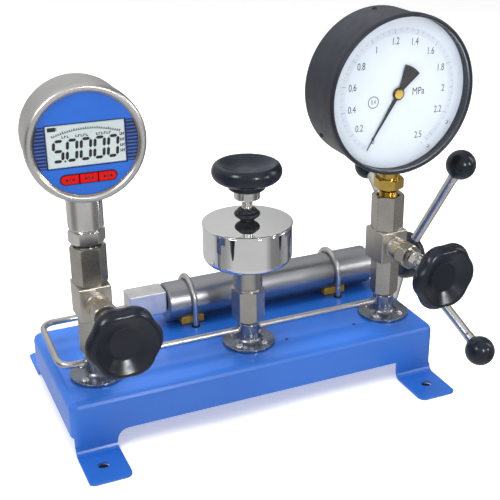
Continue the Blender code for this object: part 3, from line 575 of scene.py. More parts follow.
KNOB_RADIUS = 36.2 * MM
KNOB_OUTLINE = [(0, 0.02), (0.3, 0), (0.31, 0.12), (0.36, 0.22), (0.6, 0.27), (0.84, 0.34), (0.96, 0.44),
        (1, 0.56), (0.98, 0.7), (0.9, 0.82), (0.82, 0.86), (0.76, 0.84), (0.44, 0.66), (0.4, 0.645),
        (0, 0.64)]


def lobed(radius, angle):
    """Six shallow lobes that fade out towards the middle."""
    strength = max(0, radius / KNOB_RADIUS - 0.66) / 0.34
    wave = (1 - math.cos(6 * angle)) / 2
    return radius * (1 - 0.075 * strength * wave ** 1.6)


def make_valve(side):
    place = valve_place(side)
    block_node = f"valve_block_{side}"
    half = 16 * MM
    bottom = low(block_node).z - joints[f"valve_knob_turn_{side}"]["pos_m"][2]
    top = high(block_node).z - joints[f"valve_knob_turn_{side}"]["pos_m"][2]
    block = rounded_block((-half, half), (bottom, top), (-half, half), 1.1 * MM, 3)
    piece(f"block_{side}", moved(block, place), looks["block"], replaces=[block_node])

    seat = half + GAP
    barrel = lathe([(4 * MM, seat), (12 * MM, seat), (12 * MM, seat + 3 * MM), (11.2 * MM, seat + 3.6 * MM),
            (11.2 * MM, seat + 4.6 * MM), (12 * MM, seat + 5.2 * MM), (12 * MM, 31 * MM),
            (4 * MM, 31 * MM)], FINE, 0.3 * MM, closed=True)
    nut = cut(hexagon(13.5 * MM, 32.6 * MM, 47 * MM, (12.2 * MM, 1.6 * MM), (11.9 * MM, 2 * MM), 0.3),
            lathe(mm((0, 30), (4, 30), (4, 60), (0, 60)), SLIM, 0))
    collar = lathe(mm((4, 47.05), (7.6, 47.05), (7.6, 49), (4, 49)), ROUND, 0.4 * MM, closed=True)
    piece(f"bonnet_{side}", moved(joined(barrel, nut, collar), place), looks["nickel"],
            replaces=[f"valve_bonnet_{side}"])
    ring = lathe(mm((4.2, 31.1), (12.3, 31.1), (12.3, 32.5), (4.2, 32.5)), ROUND, 0.3 * MM, closed=True)
    piece(f"bonnet_ring_{side}", moved(ring, place), looks["brass"])

    knob_body = f"knob_{side}"
    rod = thread(3.6 * MM, 26.3 * MM, 51.5 * MM, 1.5 * MM, 0.5 * MM)
    drive = hexagon(8.7 * MM, 51.6 * MM, 60 * MM, (7.9 * MM, 0.9 * MM), (7.9 * MM, 0.9 * MM))
    boss = turned(mm((5.2, 60.05), (5.2, 62), (6, 62.6), (6, 79.7)), ROUND, 0.3 * MM)
    piece(f"stem_{side}", moved(joined(rod, drive, boss), place), looks["stem"], knob_body,
            [f"valve_stem_{side}"])
    length = 33 * MM
    outline = [(share * KNOB_RADIUS, 80 * MM + along * length) for share, along in KNOB_OUTLINE]
    knob = lathe(outline, 144, 2.6 * MM, shape=lobed)
    piece(f"lobed_knob_{side}", moved(knob, place), looks["bakelite"], knob_body,
            [f"valve_knob_{side}"], sharp=50)
    refinish(f"valve_needle_{side}", looks["stem"])


def make_sleeve(side):
    node = f"coupling_sleeve_{side}"
    bottom = low(node).z
    top = high(node).z
    bar = hexagon(17.6 * MM, bottom, top, (16 * MM, 1.2 * MM), (15.6 * MM, 1.8 * MM), flat_turn(node))
    socket = turned([(12.3 * MM, 185 * MM), (12.3 * MM, top - 2.4 * MM), (14.2 * MM, top + MM)], FINE,
            0.2 * MM)
    place = at(*middle(node).xy, 0)
    piece(f"sleeve_{side}", moved(cut(bar, socket), place), looks["nickel"], replaces=[node])


# ---------------------------------------------------------------- digital gauge

def gauge_place(node, sideways):
    """Local frame of a gauge: X to the right, Y up, Z out of the face. sideways turns it about Z."""
    spin = Matrix.Rotation(sideways, 4, "Z")
    return Matrix.Translation(node) @ spin @ spun(90, "X")


# Which of the seven bars each numeral lights: top, top right, low right, bottom, low left, top left, middle
NUMERALS = {"5": (0, 2, 3, 5, 6), "0": (0, 1, 2, 3, 4, 5)}


def numeral_bars(numeral, wide, tall, thick):
    """Outlines of a seven-bar numeral whose lower left corner is the origin, leaning to the right."""
    half = thick / 2
    notch = 0.22 * thick
    lean = math.tan(math.radians(5))
    spans = [((0, tall), (wide, tall)), ((wide, tall), (wide, tall / 2)), ((wide, tall / 2), (wide, 0)),
            ((0, 0), (wide, 0)), ((0, tall / 2), (0, 0)), ((0, tall), (0, tall / 2)),
            ((0, tall / 2), (wide, tall / 2))]
    outlines = []
    for index in NUMERALS[numeral]:
        start = Vector(spans[index][0])
        end = Vector(spans[index][1])
        along = (end - start).normalized()
        across = Vector((-along.y, along.x)) * half
        start = start + along * notch
        end = end - along * notch
        corners = [start, start + along * half + across, end - along * half + across, end,
                end - along * half - across, start + along * half - across]
        outlines.append([(corner.x + lean * corner.y, corner.y) for corner in corners])
    return outlines


def bar_outline(x, y, wide, tall):
    return [(x - wide / 2, y - tall / 2), (x + wide / 2, y - tall / 2), (x + wide / 2, y + tall / 2),
            (x - wide / 2, y + tall / 2)]


def display_marks(surface):
    """Numerals, battery, curved scale and small marks, all as thin raised prints."""
    depth = 0.08 * MM
    outlines = []
    for index, numeral in enumerate("50000"):
        for outline in numeral_bars(numeral, 8.2 * MM, 18 * MM, 2.7 * MM):
            outlines.append([(x + (12.05 * index - 29.6) * MM, y - 13 * MM) for x, y in outline])
    outlines.append(bar_outline(-19.3 * MM, -13.4 * MM, 1.5 * MM, 1.5 * MM))
    outlines.append(bar_outline(-29.2 * MM, 15.8 * MM, 7 * MM, 3.6 * MM))
    outlines.append(bar_outline(-25 * MM, 15.8 * MM, 0.7 * MM, 2.6 * MM))
    centre = (0.5 * MM, -70 * MM)
    for step in range(31):
        angle = 90 + 20.5 * (1 - step / 15)
        tall = 1.9 if step % 5 == 0 else 1.4
        spoke = Vector((math.cos(math.radians(angle)), math.sin(math.radians(angle))))
        across = Vector((-spoke.y, spoke.x)) * 0.42 * MM
        inner = Vector(centre) + spoke * 84 * MM
        outer = Vector(centre) + spoke * (84 + tall) * MM
        outlines.append([tuple(inner - across), tuple(outer - across), tuple(outer + across),
                tuple(inner + across)])
    outlines.append(arc(centre, 84.1 * MM, 110.5, 69.5, 24) + arc(centre, 83.7 * MM, 69.5, 110.5, 24))
    for start, count in ((-20.5, 3), (-8.5, 5), (9.5, 6)):
        for number in range(count):
            x = (start + 2.3 * number) * MM
            outlines.append(bar_outline(x, 8.4 * MM, 0.7 * MM, 2.3 * MM))
            outlines.append(bar_outline(x + 0.95 * MM, (7.6 + 1.5 * (number % 2)) * MM, 0.9 * MM, 0.7 * MM))
    for row in range(4):
        for number in range(3):
            x = (30.2 + 1.5 * number) * MM
            y = (6 - 5 * row) * MM
            outlines.append(bar_outline(x, y, 0.7 * MM, 2.6 * MM))
            outlines.append(bar_outline(x + 0.65 * MM, y + 0.8 * MM * (number - 1), 0.5 * MM, 0.7 * MM))
    return joined(*[prism(outline, surface, surface + depth) for outline in outlines])


def make_digital_gauge():
    centre_joint = joints["key_press_middle"]
    turn = math.atan2(-centre_joint["axis"][0], centre_joint["axis"][1])
    node_low, node_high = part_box("digital_gauge_case")
    post = middle("post_flange_left")
    centre = Vector((post.x, post.y, (node_low.z + node_high.z) / 2))
    place = gauge_place(centre, turn)
    front = 39 * MM
    back = -17.5 * MM
    seam = front - 13 * MM
    case = turned([(49 * MM, back), (51.5 * MM, back + 2.5 * MM), (51.5 * MM, seam - 0.6 * MM),
            (50.6 * MM, seam)], FINE, 1.8 * MM)
    piece("digital_case", moved(case, place), looks["case"],
            replaces=["digital_gauge_case"])
    bezel = lathe([(47 * MM, seam + GAP), (53.4 * MM, seam + GAP), (54 * MM, seam + 1.2 * MM),
            (54 * MM, front - 4 * MM), (53 * MM, front - 1.2 * MM), (51.5 * MM, front), (48.6 * MM, front),
            (47 * MM, front - 1.6 * MM)], FINE, 0.7 * MM, closed=True)
    piece("digital_bezel", moved(bezel, place), looks["case"],
            replaces=["digital_gauge_bezel"])
    seal = lathe([(46.4 * MM, front - 3.45 * MM), (46.95 * MM, front - 3.45 * MM),
            (46.95 * MM, front - 2.6 * MM), (46.4 * MM, front - 2.9 * MM)], FINE, 0.1 * MM, closed=True)
    piece("digital_seal_ring", moved(seal, place), looks["brass"])

    surface = front - 3.5 * MM
    plate = round_bar(46.9 * MM, surface - 4 * MM, surface, FINE, 0.1 * MM)
    wide = 34.5 * MM
    tall = 19 * MM
    window = rounded_block((-wide - GAP, wide + GAP), (-tall - GAP, tall + GAP),
            (surface - 6 * MM, surface + MM), 0)
    strip = arc((-20.7 * MM, -30.5 * MM), 4.4 * MM, 90, 270, 16) + arc((20.7 * MM, -30.5 * MM), 4.4 * MM,
            -90, 90, 16)
    plate = cut(plate, window, prism(strip, surface - 6 * MM, surface + MM))
    piece("digital_face", moved(plate, place), looks["face"],
            replaces=["digital_gauge_face"])

    display = rounded_block((-wide, wide), (-tall, tall), (surface - 4 * MM, surface - 0.5 * MM), 0.25 * MM,
            2)
    piece("display", moved(display, place), looks["display"], replaces=["digital_display"])
    piece("display_marks", moved(display_marks(surface - 0.49 * MM), place), looks["ink"])
    frame_bars = []
    for sign in (-1, 1):
        frame_bars.append(prism(bar_outline(sign * (wide + 0.7 * MM), 0, 0.9 * MM, 2 * tall + 2.6 * MM),
                surface, surface + 0.15 * MM))
        frame_bars.append(prism(bar_outline(0, sign * (tall + 0.7 * MM), 2 * wide + 0.5 * MM, 0.7 * MM),
                surface, surface + 0.13 * MM))
    piece("display_frame", moved(joined(*frame_bars), place), looks["navy"])

    panels = []
    ribs = []
    rib_count = 12
    for sign in (-1, 1):
        edge = math.degrees(math.asin(tall / (46.2 * MM)))
        outline = arc((0, 0), 46.2 * MM, -edge, edge, 16) + [(wide + 1.3 * MM, tall),
                (wide + 1.3 * MM, -tall)]
        panels.append(prism([(sign * x, y) for x, y in outline], surface, surface + 0.12 * MM))
        for number in range(rib_count):
            y = (number + 0.5 - rib_count / 2) * 2 * tall / rib_count
            reach = math.sqrt((45.6 * MM) ** 2 - (abs(y) + 0.8 * MM) ** 2)
            x_range = sorted((sign * (wide + 1.4 * MM), sign * reach))
            rib = rounded_block(x_range, (y - 0.72 * MM, y + 0.72 * MM),
                    (surface + 0.13 * MM, surface + 0.65 * MM), 0.2 * MM, 2)
            ribs.append(rib)
    piece("rib_panels", moved(joined(*panels), place), looks["navy"])
    piece("face_ribs", moved(joined(*ribs), place), looks["rib"])
    surround = arc((-20.7 * MM, -30.5 * MM), 4.9 * MM, 90, 270, 16) + arc((20.7 * MM, -30.5 * MM), 4.9 * MM,
            -90, 90, 16)
    rim = cut(prism(surround, surface + 0.01 * MM, surface + 0.3 * MM),
            prism(strip, surface - MM, surface + MM))
    piece("key_surround", moved(rim, place), looks["ink"])
    make_keys(place, surface)
    make_digital_stem(post)


def make_keys(place, surface):
    """Three keys of one red strip with round ends, each on its own body."""
    edge = 7.8 * MM
    half = 4 * MM
    pitch = 16.8 * MM
    for name, step in (("left", -1), ("middle", 0), ("right", 1)):
        if step == 0:
            outline = [(-edge, -half), (edge, -half), (edge, half), (-edge, half)]
        else:
            outline = [(-edge, half), (-edge, -half)] + arc((edge - half, 0), half, -90, 90, 16)
            outline = [(step * x, y) for x, y in outline]
        key = prism(outline, -3 * MM, 1.2 * MM)
        rim = [edge_ for edge_ in key.edges if min(v.co.z for v in edge_.verts) > MM]
        bmesh.ops.bevel(key, geom=rim, offset=0.45 * MM, segments=3, profile=0.5, affect="EDGES")
        spot = place @ at(step * pitch, -30.5 * MM, surface)
        body = f"key_{name}"
        piece(f"face_key_{name}", moved(key, spot), looks["key"], body, [f"button_{name}"])
        marks = [prism(bar_outline(0, 0, 0.9 * MM, 2.7 * MM), 1.21 * MM, 1.28 * MM),
                prism(arc((-2.8 * MM, 0), 1.3 * MM, 0, 345, 20), 1.21 * MM, 1.28 * MM),
                prism(bar_outline(2.9 * MM, 0, 2 * MM, 2.3 * MM), 1.21 * MM, 1.28 * MM)]
        piece(f"key_marks_{name}", moved(joined(*marks), spot), looks["ink"], body)


def make_digital_stem(post):
    node = "digital_gauge_stem"
    hex_bottom = 200 * MM
    hex_top = 214 * MM
    corner = 17.8 * MM
    spigot = turned([(11.7 * MM, low(node).z), (11.7 * MM, 198.5 * MM), (12.4 * MM, hex_bottom)], ROUND,
            0.3 * MM)
    nut = hexagon(corner, hex_bottom, hex_top, (13.6 * MM, 3.6 * MM), (16.4 * MM, 1.2 * MM),
            flat_turn(node))
    barrel = turned([(14.2 * MM, hex_top), (14.4 * MM, hex_top + 1.6 * MM), (17 * MM, hex_top + 3.2 * MM),
            (17 * MM, 262 * MM)], FINE, 0.5 * MM)
    clearance = lathe(mm((0, -60), (51.7, -60), (51.7, 60), (0, 60)), FINE, 0)
    turn = math.atan2(-joints["key_press_middle"]["axis"][0], joints["key_press_middle"]["axis"][1])
    place = at(post.x, post.y, 0)
    centre = Vector((post.x, post.y, middle("digital_gauge_case").z))
    barrel = cut(moved(barrel, place), moved(clearance, gauge_place(centre, turn)))
    stem = joined(moved(spigot, place), moved(nut, place), barrel)
    piece("digital_stem", stem, looks["stem"], replaces=[node])
    marks = []
    for row in range(7):
        long = 3.2 if row % 3 == 0 else 2.0
        mark = rounded_block((-long / 2 * MM, long / 2 * MM), (-17.06 * MM, -16.9 * MM),
                (-0.2 * MM, 0.2 * MM), 0)
        spin = spun(24, "Z")
        marks.append(moved(mark, place @ spin @ at(0, 0, (224 + 2.6 * row) * MM)))
    piece("stem_marks", joined(*marks), looks["grey_ink"])


# ---------------------------------------------------------------- dial gauge

DIAL_START = -150                   # degrees clockwise from the top
DIAL_SWEEP = 300
POINTER_REST = -148
FULL_SCALE = 2.5


def dial_point(value, radius):
    angle = math.radians(DIAL_START + DIAL_SWEEP * value / FULL_SCALE)
    return radius * math.sin(angle), radius * math.cos(angle)


def dial_ticks(surface):
    ticks = []
    for step in range(51):
        value = FULL_SCALE * step / 50
        main = step % 4 == 0
        inner = Vector(dial_point(value, (61 if main else 63) * MM))
        outer = Vector(dial_point(value, 66 * MM))
        along = (outer - inner).normalized()
        across = Vector((-along.y, along.x)) * (0.2 if main else 0.11) * MM
        ticks.append(prism([tuple(inner - across), tuple(outer - across), tuple(outer + across),
                tuple(inner + across)], surface + 0.05 * MM, surface + 0.09 * MM))
    return joined(*ticks)


def make_dial_gauge():
    post = middle("post_flange_right")
    centre = Vector((post.x, post.y, middle("analog_gauge_case").z))
    place = gauge_place(centre, 0)
    front = centre.y - low("analog_gauge_bezel").y
    back = centre.y - high("analog_gauge_case").y
    seam = front - 10 * MM
    case = turned([(79 * MM, back), (80.5 * MM, back + 1.5 * MM), (80.5 * MM, seam - 0.8 * MM),
            (79.6 * MM, seam), (78.5 * MM, seam), (78.5 * MM, back + 4 * MM)], FINE, 1.2 * MM)
    piece("dial_case", moved(case, place), looks["enamel"],
            replaces=["analog_gauge_case"])
    bezel = lathe([(78.5 * MM, seam + GAP), (82 * MM, seam + GAP), (82.5 * MM, seam + 0.8 * MM),
            (82.5 * MM, front - 3 * MM), (81.8 * MM, front - 0.8 * MM), (80.8 * MM, front),
            (79.6 * MM, front), (78.5 * MM, front - 1.2 * MM)], FINE, 0.7 * MM, closed=True)
    piece("dial_bezel", moved(bezel, place), looks["enamel"],
            replaces=["analog_gauge_bezel"])
    glass_front = front - 2 * MM
    glass = round_bar(78.4 * MM, glass_front - 1.6 * MM, glass_front, FINE, 0.3 * MM)
    window = piece("dial_window", moved(glass, place), looks["glass"],
            replaces=["analog_gauge_glass"])
    window.visible_shadow = False
    surface = seam - 3 * MM
    dial = round_ring(2.5 * MM, 78.3 * MM, surface - MM, surface, FINE, 0.1 * MM)
    piece("dial_plate", moved(dial, place), looks["dial"], replaces=["analog_gauge_dial"])
    band = arc((0, 0), 66.5 * MM, 90 + 146, 90 - 146, 96) + arc((0, 0), 60.5 * MM, 90 - 146, 90 + 146, 96)
    piece("dial_band_print", moved(prism(band, surface, surface + 0.04 * MM), place), looks["band"])
    piece("dial_ticks_print", moved(dial_ticks(surface), place), looks["grey_ink"])
    labels = []
    for value in (0, 0.2, 0.4, 0.6, 0.8, 1, 1.2, 1.4, 1.6, 1.8, 2, 2.2, 2.5):
        x, y = dial_point(value, 53.5 * MM)
        label = text_mesh(f"{value:g}", 10.2 * MM, 0.04 * MM, 0.74)
        labels.append(moved(label, at(x, y, surface + 0.03 * MM)))
    unit = text_mesh("MPa", 11 * MM, 0.04 * MM, 0.78)
    labels.append(moved(unit, at(24 * MM, 0, surface + 0.03 * MM)))
    grade = text_mesh("0.4", 6.4 * MM, 0.04 * MM, 0.72)
    labels.append(moved(grade, at(-28 * MM, -6 * MM, surface + 0.03 * MM)))
    ring = round_ring(5.4 * MM, 6.2 * MM, surface + 0.01 * MM, surface + 0.05 * MM, 48, 0)
    labels.append(moved(ring, at(-28 * MM, -6 * MM, 0)))
    piece("dial_numerals", moved(joined(*labels), place), looks["ink"], sharp=20)
    screws = []
    for x, y in ((61, -37), (39.5, -60)):
        screws.append(moved(socket_screw(2 * MM, 1.1 * MM), at(x * MM, y * MM, surface)))
    piece("dial_screws", moved(joined(*screws), place), looks["screw"])
    case_screws = []
    for angle in (97, 214, 350):
        spin = spun(angle, "Z") @ spun(90, "Y")
        head = moved(socket_screw(2.6 * MM, 1.6 * MM), at(0, 0, 80.4 * MM))
        case_screws.append(moved(head, at(0, 0, back + 14 * MM) @ spin))
    piece("case_screws", moved(joined(*case_screws), place), looks["enamel"])
    make_pointer(place, surface)
    make_dial_socket(post, place)
    refinish("bourdon_tube", looks["brass"])


def make_pointer(place, surface):
    rest = Matrix.Rotation(-math.radians(POINTER_REST), 4, "Z")
    base = surface + 1.2 * MM
    outline = mm((0.3, 65), (-0.3, 65), (-0.75, 50), (-2, 7))
    outline += arc((0, 0), 6.6 * MM, 110, 245, 12)
    outline += arc((0, 0), 30 * MM, 250.5, 289.5, 16)
    outline += arc((0, 0), 6.6 * MM, 295, 430, 12)
    outline += [(2 * MM, 7 * MM), (0.75 * MM, 50 * MM)]
    hand = prism(outline, base, base + 0.7 * MM)
    shaft = round_bar(1.8 * MM, surface - 3 * MM, base, SLIM, 0)
    piece("dial_pointer", moved(joined(hand, shaft), place @ rest), looks["ink"], "pointer",
            ["analog_gauge_pointer"])
    cap = lathe([(0, base + 0.72 * MM), (5 * MM, base + 0.72 * MM), (5 * MM, base + 2 * MM),
            (4.2 * MM, base + 2.6 * MM), (0, base + 2.9 * MM)], 48, 0.4 * MM)
    piece("pointer_cap", moved(cap, place), looks["brass"], "pointer")



def make_dial_socket(post, place):
    node = "analog_gauge_socket"
    bottom = low(node).z
    nut_bottom = 205.5 * MM
    nut_top = 216.5 * MM
    spin = flat_turn(node)
    spigot = thread(10 * MM, bottom, 203 * MM, 1.5 * MM, 0.6 * MM)
    shoulder = round_bar(9 * MM, 203 * MM, nut_bottom, ROUND, 0.3 * MM)
    nut = hexagon(16 * MM, nut_bottom, nut_top, (14.2 * MM, 1.4 * MM), (14.6 * MM, 1.2 * MM), spin)
    upper = round_bar(11 * MM, nut_top, 236 * MM, ROUND, 0.5 * MM)
    clearance = lathe(mm((0, -60), (80.7, -60), (80.7, 60), (0, 60)), FINE, 0)
    spot = at(post.x, post.y, 0)
    upper = cut(moved(upper, spot), moved(clearance, place))
    socket = joined(moved(spigot, spot), moved(shoulder, spot), moved(nut, spot), upper)
    piece("dial_socket", socket, looks["brass"], replaces=[node])


# ---------------------------------------------------------------- pump

def pump_place():
    joint = joints["handle_turn"]
    axis = Vector((0, joint["pos_m"][1], joint["pos_m"][2]))
    return Matrix.Translation(axis) @ spun(90, "Y")


def make_pump():
    place = pump_place()
    start = low("pump_cylinder").x
    end = high("pump_cylinder").x
    shoulder = end - 11 * MM
    radius = 21.5 * MM
    cylinder = lathe([(3 * MM, start), (radius - 2 * MM, start), (radius, start + 1.2 * MM),
            (radius, shoulder - 1.2 * MM), (radius - 1.6 * MM, shoulder), (15.5 * MM, shoulder),
            (14.6 * MM, shoulder + MM), (14.6 * MM, end - 1.5 * MM), (13 * MM, end), (8.4 * MM, end),
            (8.4 * MM, shoulder), (3 * MM, shoulder)], FINE, 0.7 * MM, closed=True)
    piece("cylinder", moved(cylinder, place), looks["cylinder"], replaces=["pump_cylinder"])
    half = 12.5 * MM
    rise = 6 * MM
    inlet_start = low("inlet_block").x
    inlet_end = high("inlet_block").x - 0.7 * MM
    block = rounded_block((-half - rise, half - rise), (-half, half), (inlet_start, inlet_end), 1.2 * MM, 3)
    boss = round_bar(6 * MM, inlet_end, start - GAP, ROUND, 0)
    piece("inlet", moved(joined(block, boss), place), looks["inlet"],
            replaces=["inlet_block"])
    spindle_end = high("spindle").x
    plain = round_bar(7.9 * MM, low("spindle").x, 150 * MM, ROUND, 0.4 * MM)
    screw = thread(8 * MM, 150 * MM, spindle_end, 3 * MM, 0.9 * MM)
    piece("screw_spindle", moved(joined(plain, screw), place), looks["arm"], "handle", ["spindle"])
    refinish("piston", looks["arm"])


def make_handle():
    joint = joints["handle_turn"]
    hub_place = Matrix.Translation(joint["pos_m"]) @ spun(90, "Y")
    radius = 28 * MM
    hub = lathe([(8.4 * MM, -13 * MM), (radius - 5 * MM, -13 * MM), (radius - MM, -9 * MM),
            (radius, -4 * MM), (radius, 5 * MM), (radius - 2 * MM, 10 * MM), (radius - 8 * MM, 14 * MM),
            (14 * MM, 18.5 * MM), (10 * MM, 20 * MM), (0, 20 * MM), (0, 4 * MM), (8.4 * MM, 4 * MM)], FINE,
            1.4 * MM, closed=True)
    piece("hub", moved(hub, hub_place), looks["bakelite"], "handle", ["handle_hub"])
    middle_point = Vector(joint["pos_m"])
    for number in range(1, 5):
        ball = middle(f"handle_ball_{number}")
        direction = (ball - middle_point).normalized()
        reach = (ball - middle_point).length
        aim = Matrix.Translation(middle_point) @ direction.to_track_quat("Z", "Y").to_matrix().to_4x4()
        arm = turned([(6 * MM, 19 * MM), (6 * MM, 30.5 * MM), (5.6 * MM, 31.5 * MM),
                (5.6 * MM, reach - 24 * MM), (6 * MM, reach - 22 * MM), (6 * MM, reach - 9 * MM)], 48,
                0.5 * MM)
        piece(f"arm_{number}", moved(arm, aim), looks["arm"], "handle", [f"handle_arm_{number}"])
        profile = [(0, 16.6 * MM)]
        for step in range(1, 40):
            angle = math.radians(90 - 4.05 * step)
            profile.append((16.6 * MM * math.cos(angle), 16.6 * MM * math.sin(angle)))
        profile += mm((7.2, -15.6), (6.2, -15.2), (6.15, -8.6), (0, -8.6))
        profile = [point for point in profile if point[1] > -15.7 * MM]
        knob = lathe([(r, z + reach) for r, z in profile], ROUND, 0.3 * MM)
        piece(f"ball_{number}", moved(knob, aim), looks["bakelite"], "handle",
                [f"handle_ball_{number}"], sharp=60)


def make_clamps():
    joint = joints["handle_turn"]
    axis_y, axis_z = joint["pos_m"][1], joint["pos_m"][2]
    plate_top = high("base_cover").z
    for side in ("left", "right"):
        node = f"u_bolt_{side}"
        x = middle(node).x
        rod = width(node, 0) / 2
        reach = width(node, 1) / 2 - rod
        bottom = low(node).z
        path = [Vector((x, axis_y - reach, bottom))]
        path += [Vector((x, y, z)) for y, z in arc((axis_y, axis_z), reach, 180, 0, 48)]
        path.append(Vector((x, axis_y + reach, bottom)))
        piece(f"clamp_bow_{side}", pipe(path, rod, 28), looks["tube"], replaces=[node])
        rings = []
        nuts = []
        for sign in (-1, 1):
            spot = at(x, axis_y + sign * reach, 0)
            ring = lathe([(rod + 0.05 * MM, plate_top), (rod + 1.7 * MM, plate_top),
                    (rod + 1.7 * MM, plate_top + MM), (rod + 0.05 * MM, plate_top + 1.4 * MM)], 40,
                    0.4 * MM, closed=True)
            rings.append(moved(ring, spot))
            nut = hexagon(5.6 * MM, 48 * MM, 53 * MM, (5 * MM, 0.7 * MM), (5 * MM, 0.7 * MM))
            nuts.append(moved(nut, spot))
        piece(f"clamp_grommets_{side}", joined(*rings), looks["rubber"])
        piece(f"clamp_nuts_{side}", joined(*nuts), looks["screw"])
        saddle = f"saddle_{side}"
        block = rounded_block((low(saddle).x, high(saddle).x), (low(saddle).y, high(saddle).y),
                (low(saddle).z, high(saddle).z), 1.2 * MM, 3)
        bed = round_bar(21.8 * MM, low(saddle).x - 9 * MM, high(saddle).x + 9 * MM, FINE, 0)
        piece(f"pad_{side}", cut(block, moved(bed, pump_place())), looks["amber"],
                replaces=[saddle])


def make_tubes():
    half_tube = width("manifold_tube_left", 1) / 2
    for side in ("left", "right"):
        node = f"manifold_tube_{side}"
        centre = middle(node)
        path = [Vector((low(node).x, centre.y, centre.z)), Vector((high(node).x, centre.y, centre.z))]
        piece(f"tube_{side}", pipe(path, half_tube, 36), looks["tube"], replaces=[node])
    node = "loop_tube"
    left = low(node).x + half_tube
    front_z = low(node).z + half_tube
    rear_z = high(node).z - half_tube
    front_y = low(node).y + half_tube
    rear_y = high(node).y - half_tube
    corners = [Vector((middle("post_flange_left").x - 11.3 * MM, front_y, front_z)),
            Vector((left, front_y, front_z)), Vector((left, rear_y, rear_z)),
            Vector((low("inlet_block").x - GAP, rear_y, rear_z))]
    piece("loop", pipe(bent(corners, 13 * MM, 14), half_tube, 36), looks["tube"],
            replaces=[node])
    beads = []
    for side, signs in (("left", (-1, 1)), ("centre", (-1, 1)), ("right", (-1,))):
        for sign in signs:
            bead = lathe([(half_tube + 0.05 * MM, 10.4 * MM), (half_tube + 1.5 * MM, 10.4 * MM),
                    (half_tube + 0.8 * MM, 12 * MM), (half_tube + 0.05 * MM, 12.4 * MM)], 40, 0.5 * MM,
                    closed=True)
            spot = Vector((middle(f"post_flange_{side}").x, front_y, front_z))
            turn = spun(90 * sign, "Y")
            beads.append(moved(bead, Matrix.Translation(spot) @ turn))
    piece("tube_weld_beads", joined(*beads), looks["flange"])


# ---------------------------------------------------------------- oil cup

def make_oil_cup():
    place = at(*middle("oil_cup").xy, 0)
    bottom = low("oil_cup").z
    top = high("oil_cup").z
    outer = width("oil_cup", 0) / 2
    inner = outer - 1.5 * MM
    profile = [(6.6 * MM, bottom)]
    profile += arc((outer - 7 * MM, bottom + 7 * MM), 7 * MM, -90, 0, 14)
    profile += [(outer, top - 0.6 * MM), (outer - 0.5 * MM, top), (inner, top), (inner, bottom + 7 * MM),
            (inner - 2 * MM, bottom + 3.2 * MM), (inner - 6 * MM, bottom + 1.5 * MM),
            (6.6 * MM, bottom + 1.5 * MM)]
    cup = lathe(profile, FINE, 0.3 * MM, closed=True)
    piece("cup", moved(cup, place), looks["chrome"], replaces=["oil_cup"], sharp=50)

    lid_low = low("cup_lid").z
    lid_radius = width("cup_lid", 0) / 2
    lid_top = high("cup_lid").z
    hole = 5.9 * MM
    lid = lathe([(hole, lid_low), (lid_radius, lid_low), (lid_radius, lid_low + 1.4 * MM),
            (lid_radius - 1.2 * MM, lid_low + 1.75 * MM), (14 * MM, lid_top - 0.4 * MM), (hole, lid_top)],
            FINE, 0.35 * MM, closed=True)
    piece("lid", moved(lid, place), looks["chrome"], "cup_lid_body", ["cup_lid"])
    boot_low = low("cup_boot").z
    boot = lathe([(hole, boot_low), (7 * MM, boot_low), (8.6 * MM, boot_low + 1.8 * MM),
            (12.4 * MM, boot_low + 4.6 * MM), (13.2 * MM, boot_low + 6.2 * MM),
            (12.9 * MM, boot_low + 8 * MM), (10.4 * MM, boot_low + 9.4 * MM),
            (9.8 * MM, boot_low + 11.2 * MM), (8.4 * MM, boot_low + 12 * MM), (hole, boot_low + 12 * MM)],
            FINE, 1.2 * MM, closed=True)
    piece("boot", moved(boot, place), looks["rubber"], "cup_lid_body", ["cup_boot"])

    stem_low = low("cup_stem").z
    stem_top = high("cup_stem").z
    radius = 5.6 * MM
    collar_low = 219 * MM
    collar_top = 228 * MM
    stem = turned([(2.4 * MM, stem_low), (2.4 * MM, 156 * MM), (radius, 158 * MM),
            (radius, collar_low - MM), (4.9 * MM, collar_low - 0.6 * MM), (4.9 * MM, collar_low),
            (13 * MM, collar_low), (13.2 * MM, collar_low + 0.5 * MM), (13.2 * MM, collar_top - 0.5 * MM),
            (12.6 * MM, collar_top), (radius, collar_top), (radius, stem_top)], ROUND, 0.3 * MM)
    groove = rounded_block((-1.1 * MM, 1.1 * MM), (-7 * MM, -4.6 * MM), (196 * MM, 218 * MM), 0.3 * MM, 2)
    groove = moved(groove, spun(-22, "Z"))
    piece("wheel_stem", moved(cut(stem, groove), place), looks["stem"], "cup_wheel", ["cup_stem"])

    wheel_low = low("cup_handwheel").z
    wheel_high = high("cup_handwheel").z
    tall = wheel_high - wheel_low
    reach = width("cup_handwheel", 0) / 2
    shape = [(0.16, 0), (0.49, 0), (0.53, 0.05), (0.53, 0.2), (0.56, 0.24), (0.72, 0.28), (0.86, 0.36),
            (0.955, 0.48), (1, 0.64), (0.985, 0.8), (0.93, 0.93), (0.86, 0.99), (0.8, 0.99), (0.7, 0.93),
            (0.5, 0.8), (0.3, 0.72), (0, 0.7), (0, 0.68), (0.16, 0.68)]
    wheel = lathe([(share * reach, wheel_low + up * tall) for share, up in shape], FINE, 2.2 * MM,
            closed=True)
    piece("handwheel", moved(wheel, place), looks["bakelite"], "cup_wheel", ["cup_handwheel"],
            sharp=50)
    refinish("cup_needle", looks["stem"])


# ---------------------------------------------------------------- stage, lights and camera

def stage_block(name, bm, material):
    mesh = bpy.data.meshes.new(name)
    bm.to_mesh(mesh)
    bm.free()
    mesh.materials.append(material)
    item = bpy.data.objects.new(name, mesh)
    bpy.context.scene.collection.objects.link(item)
    item.visible_glossy = False


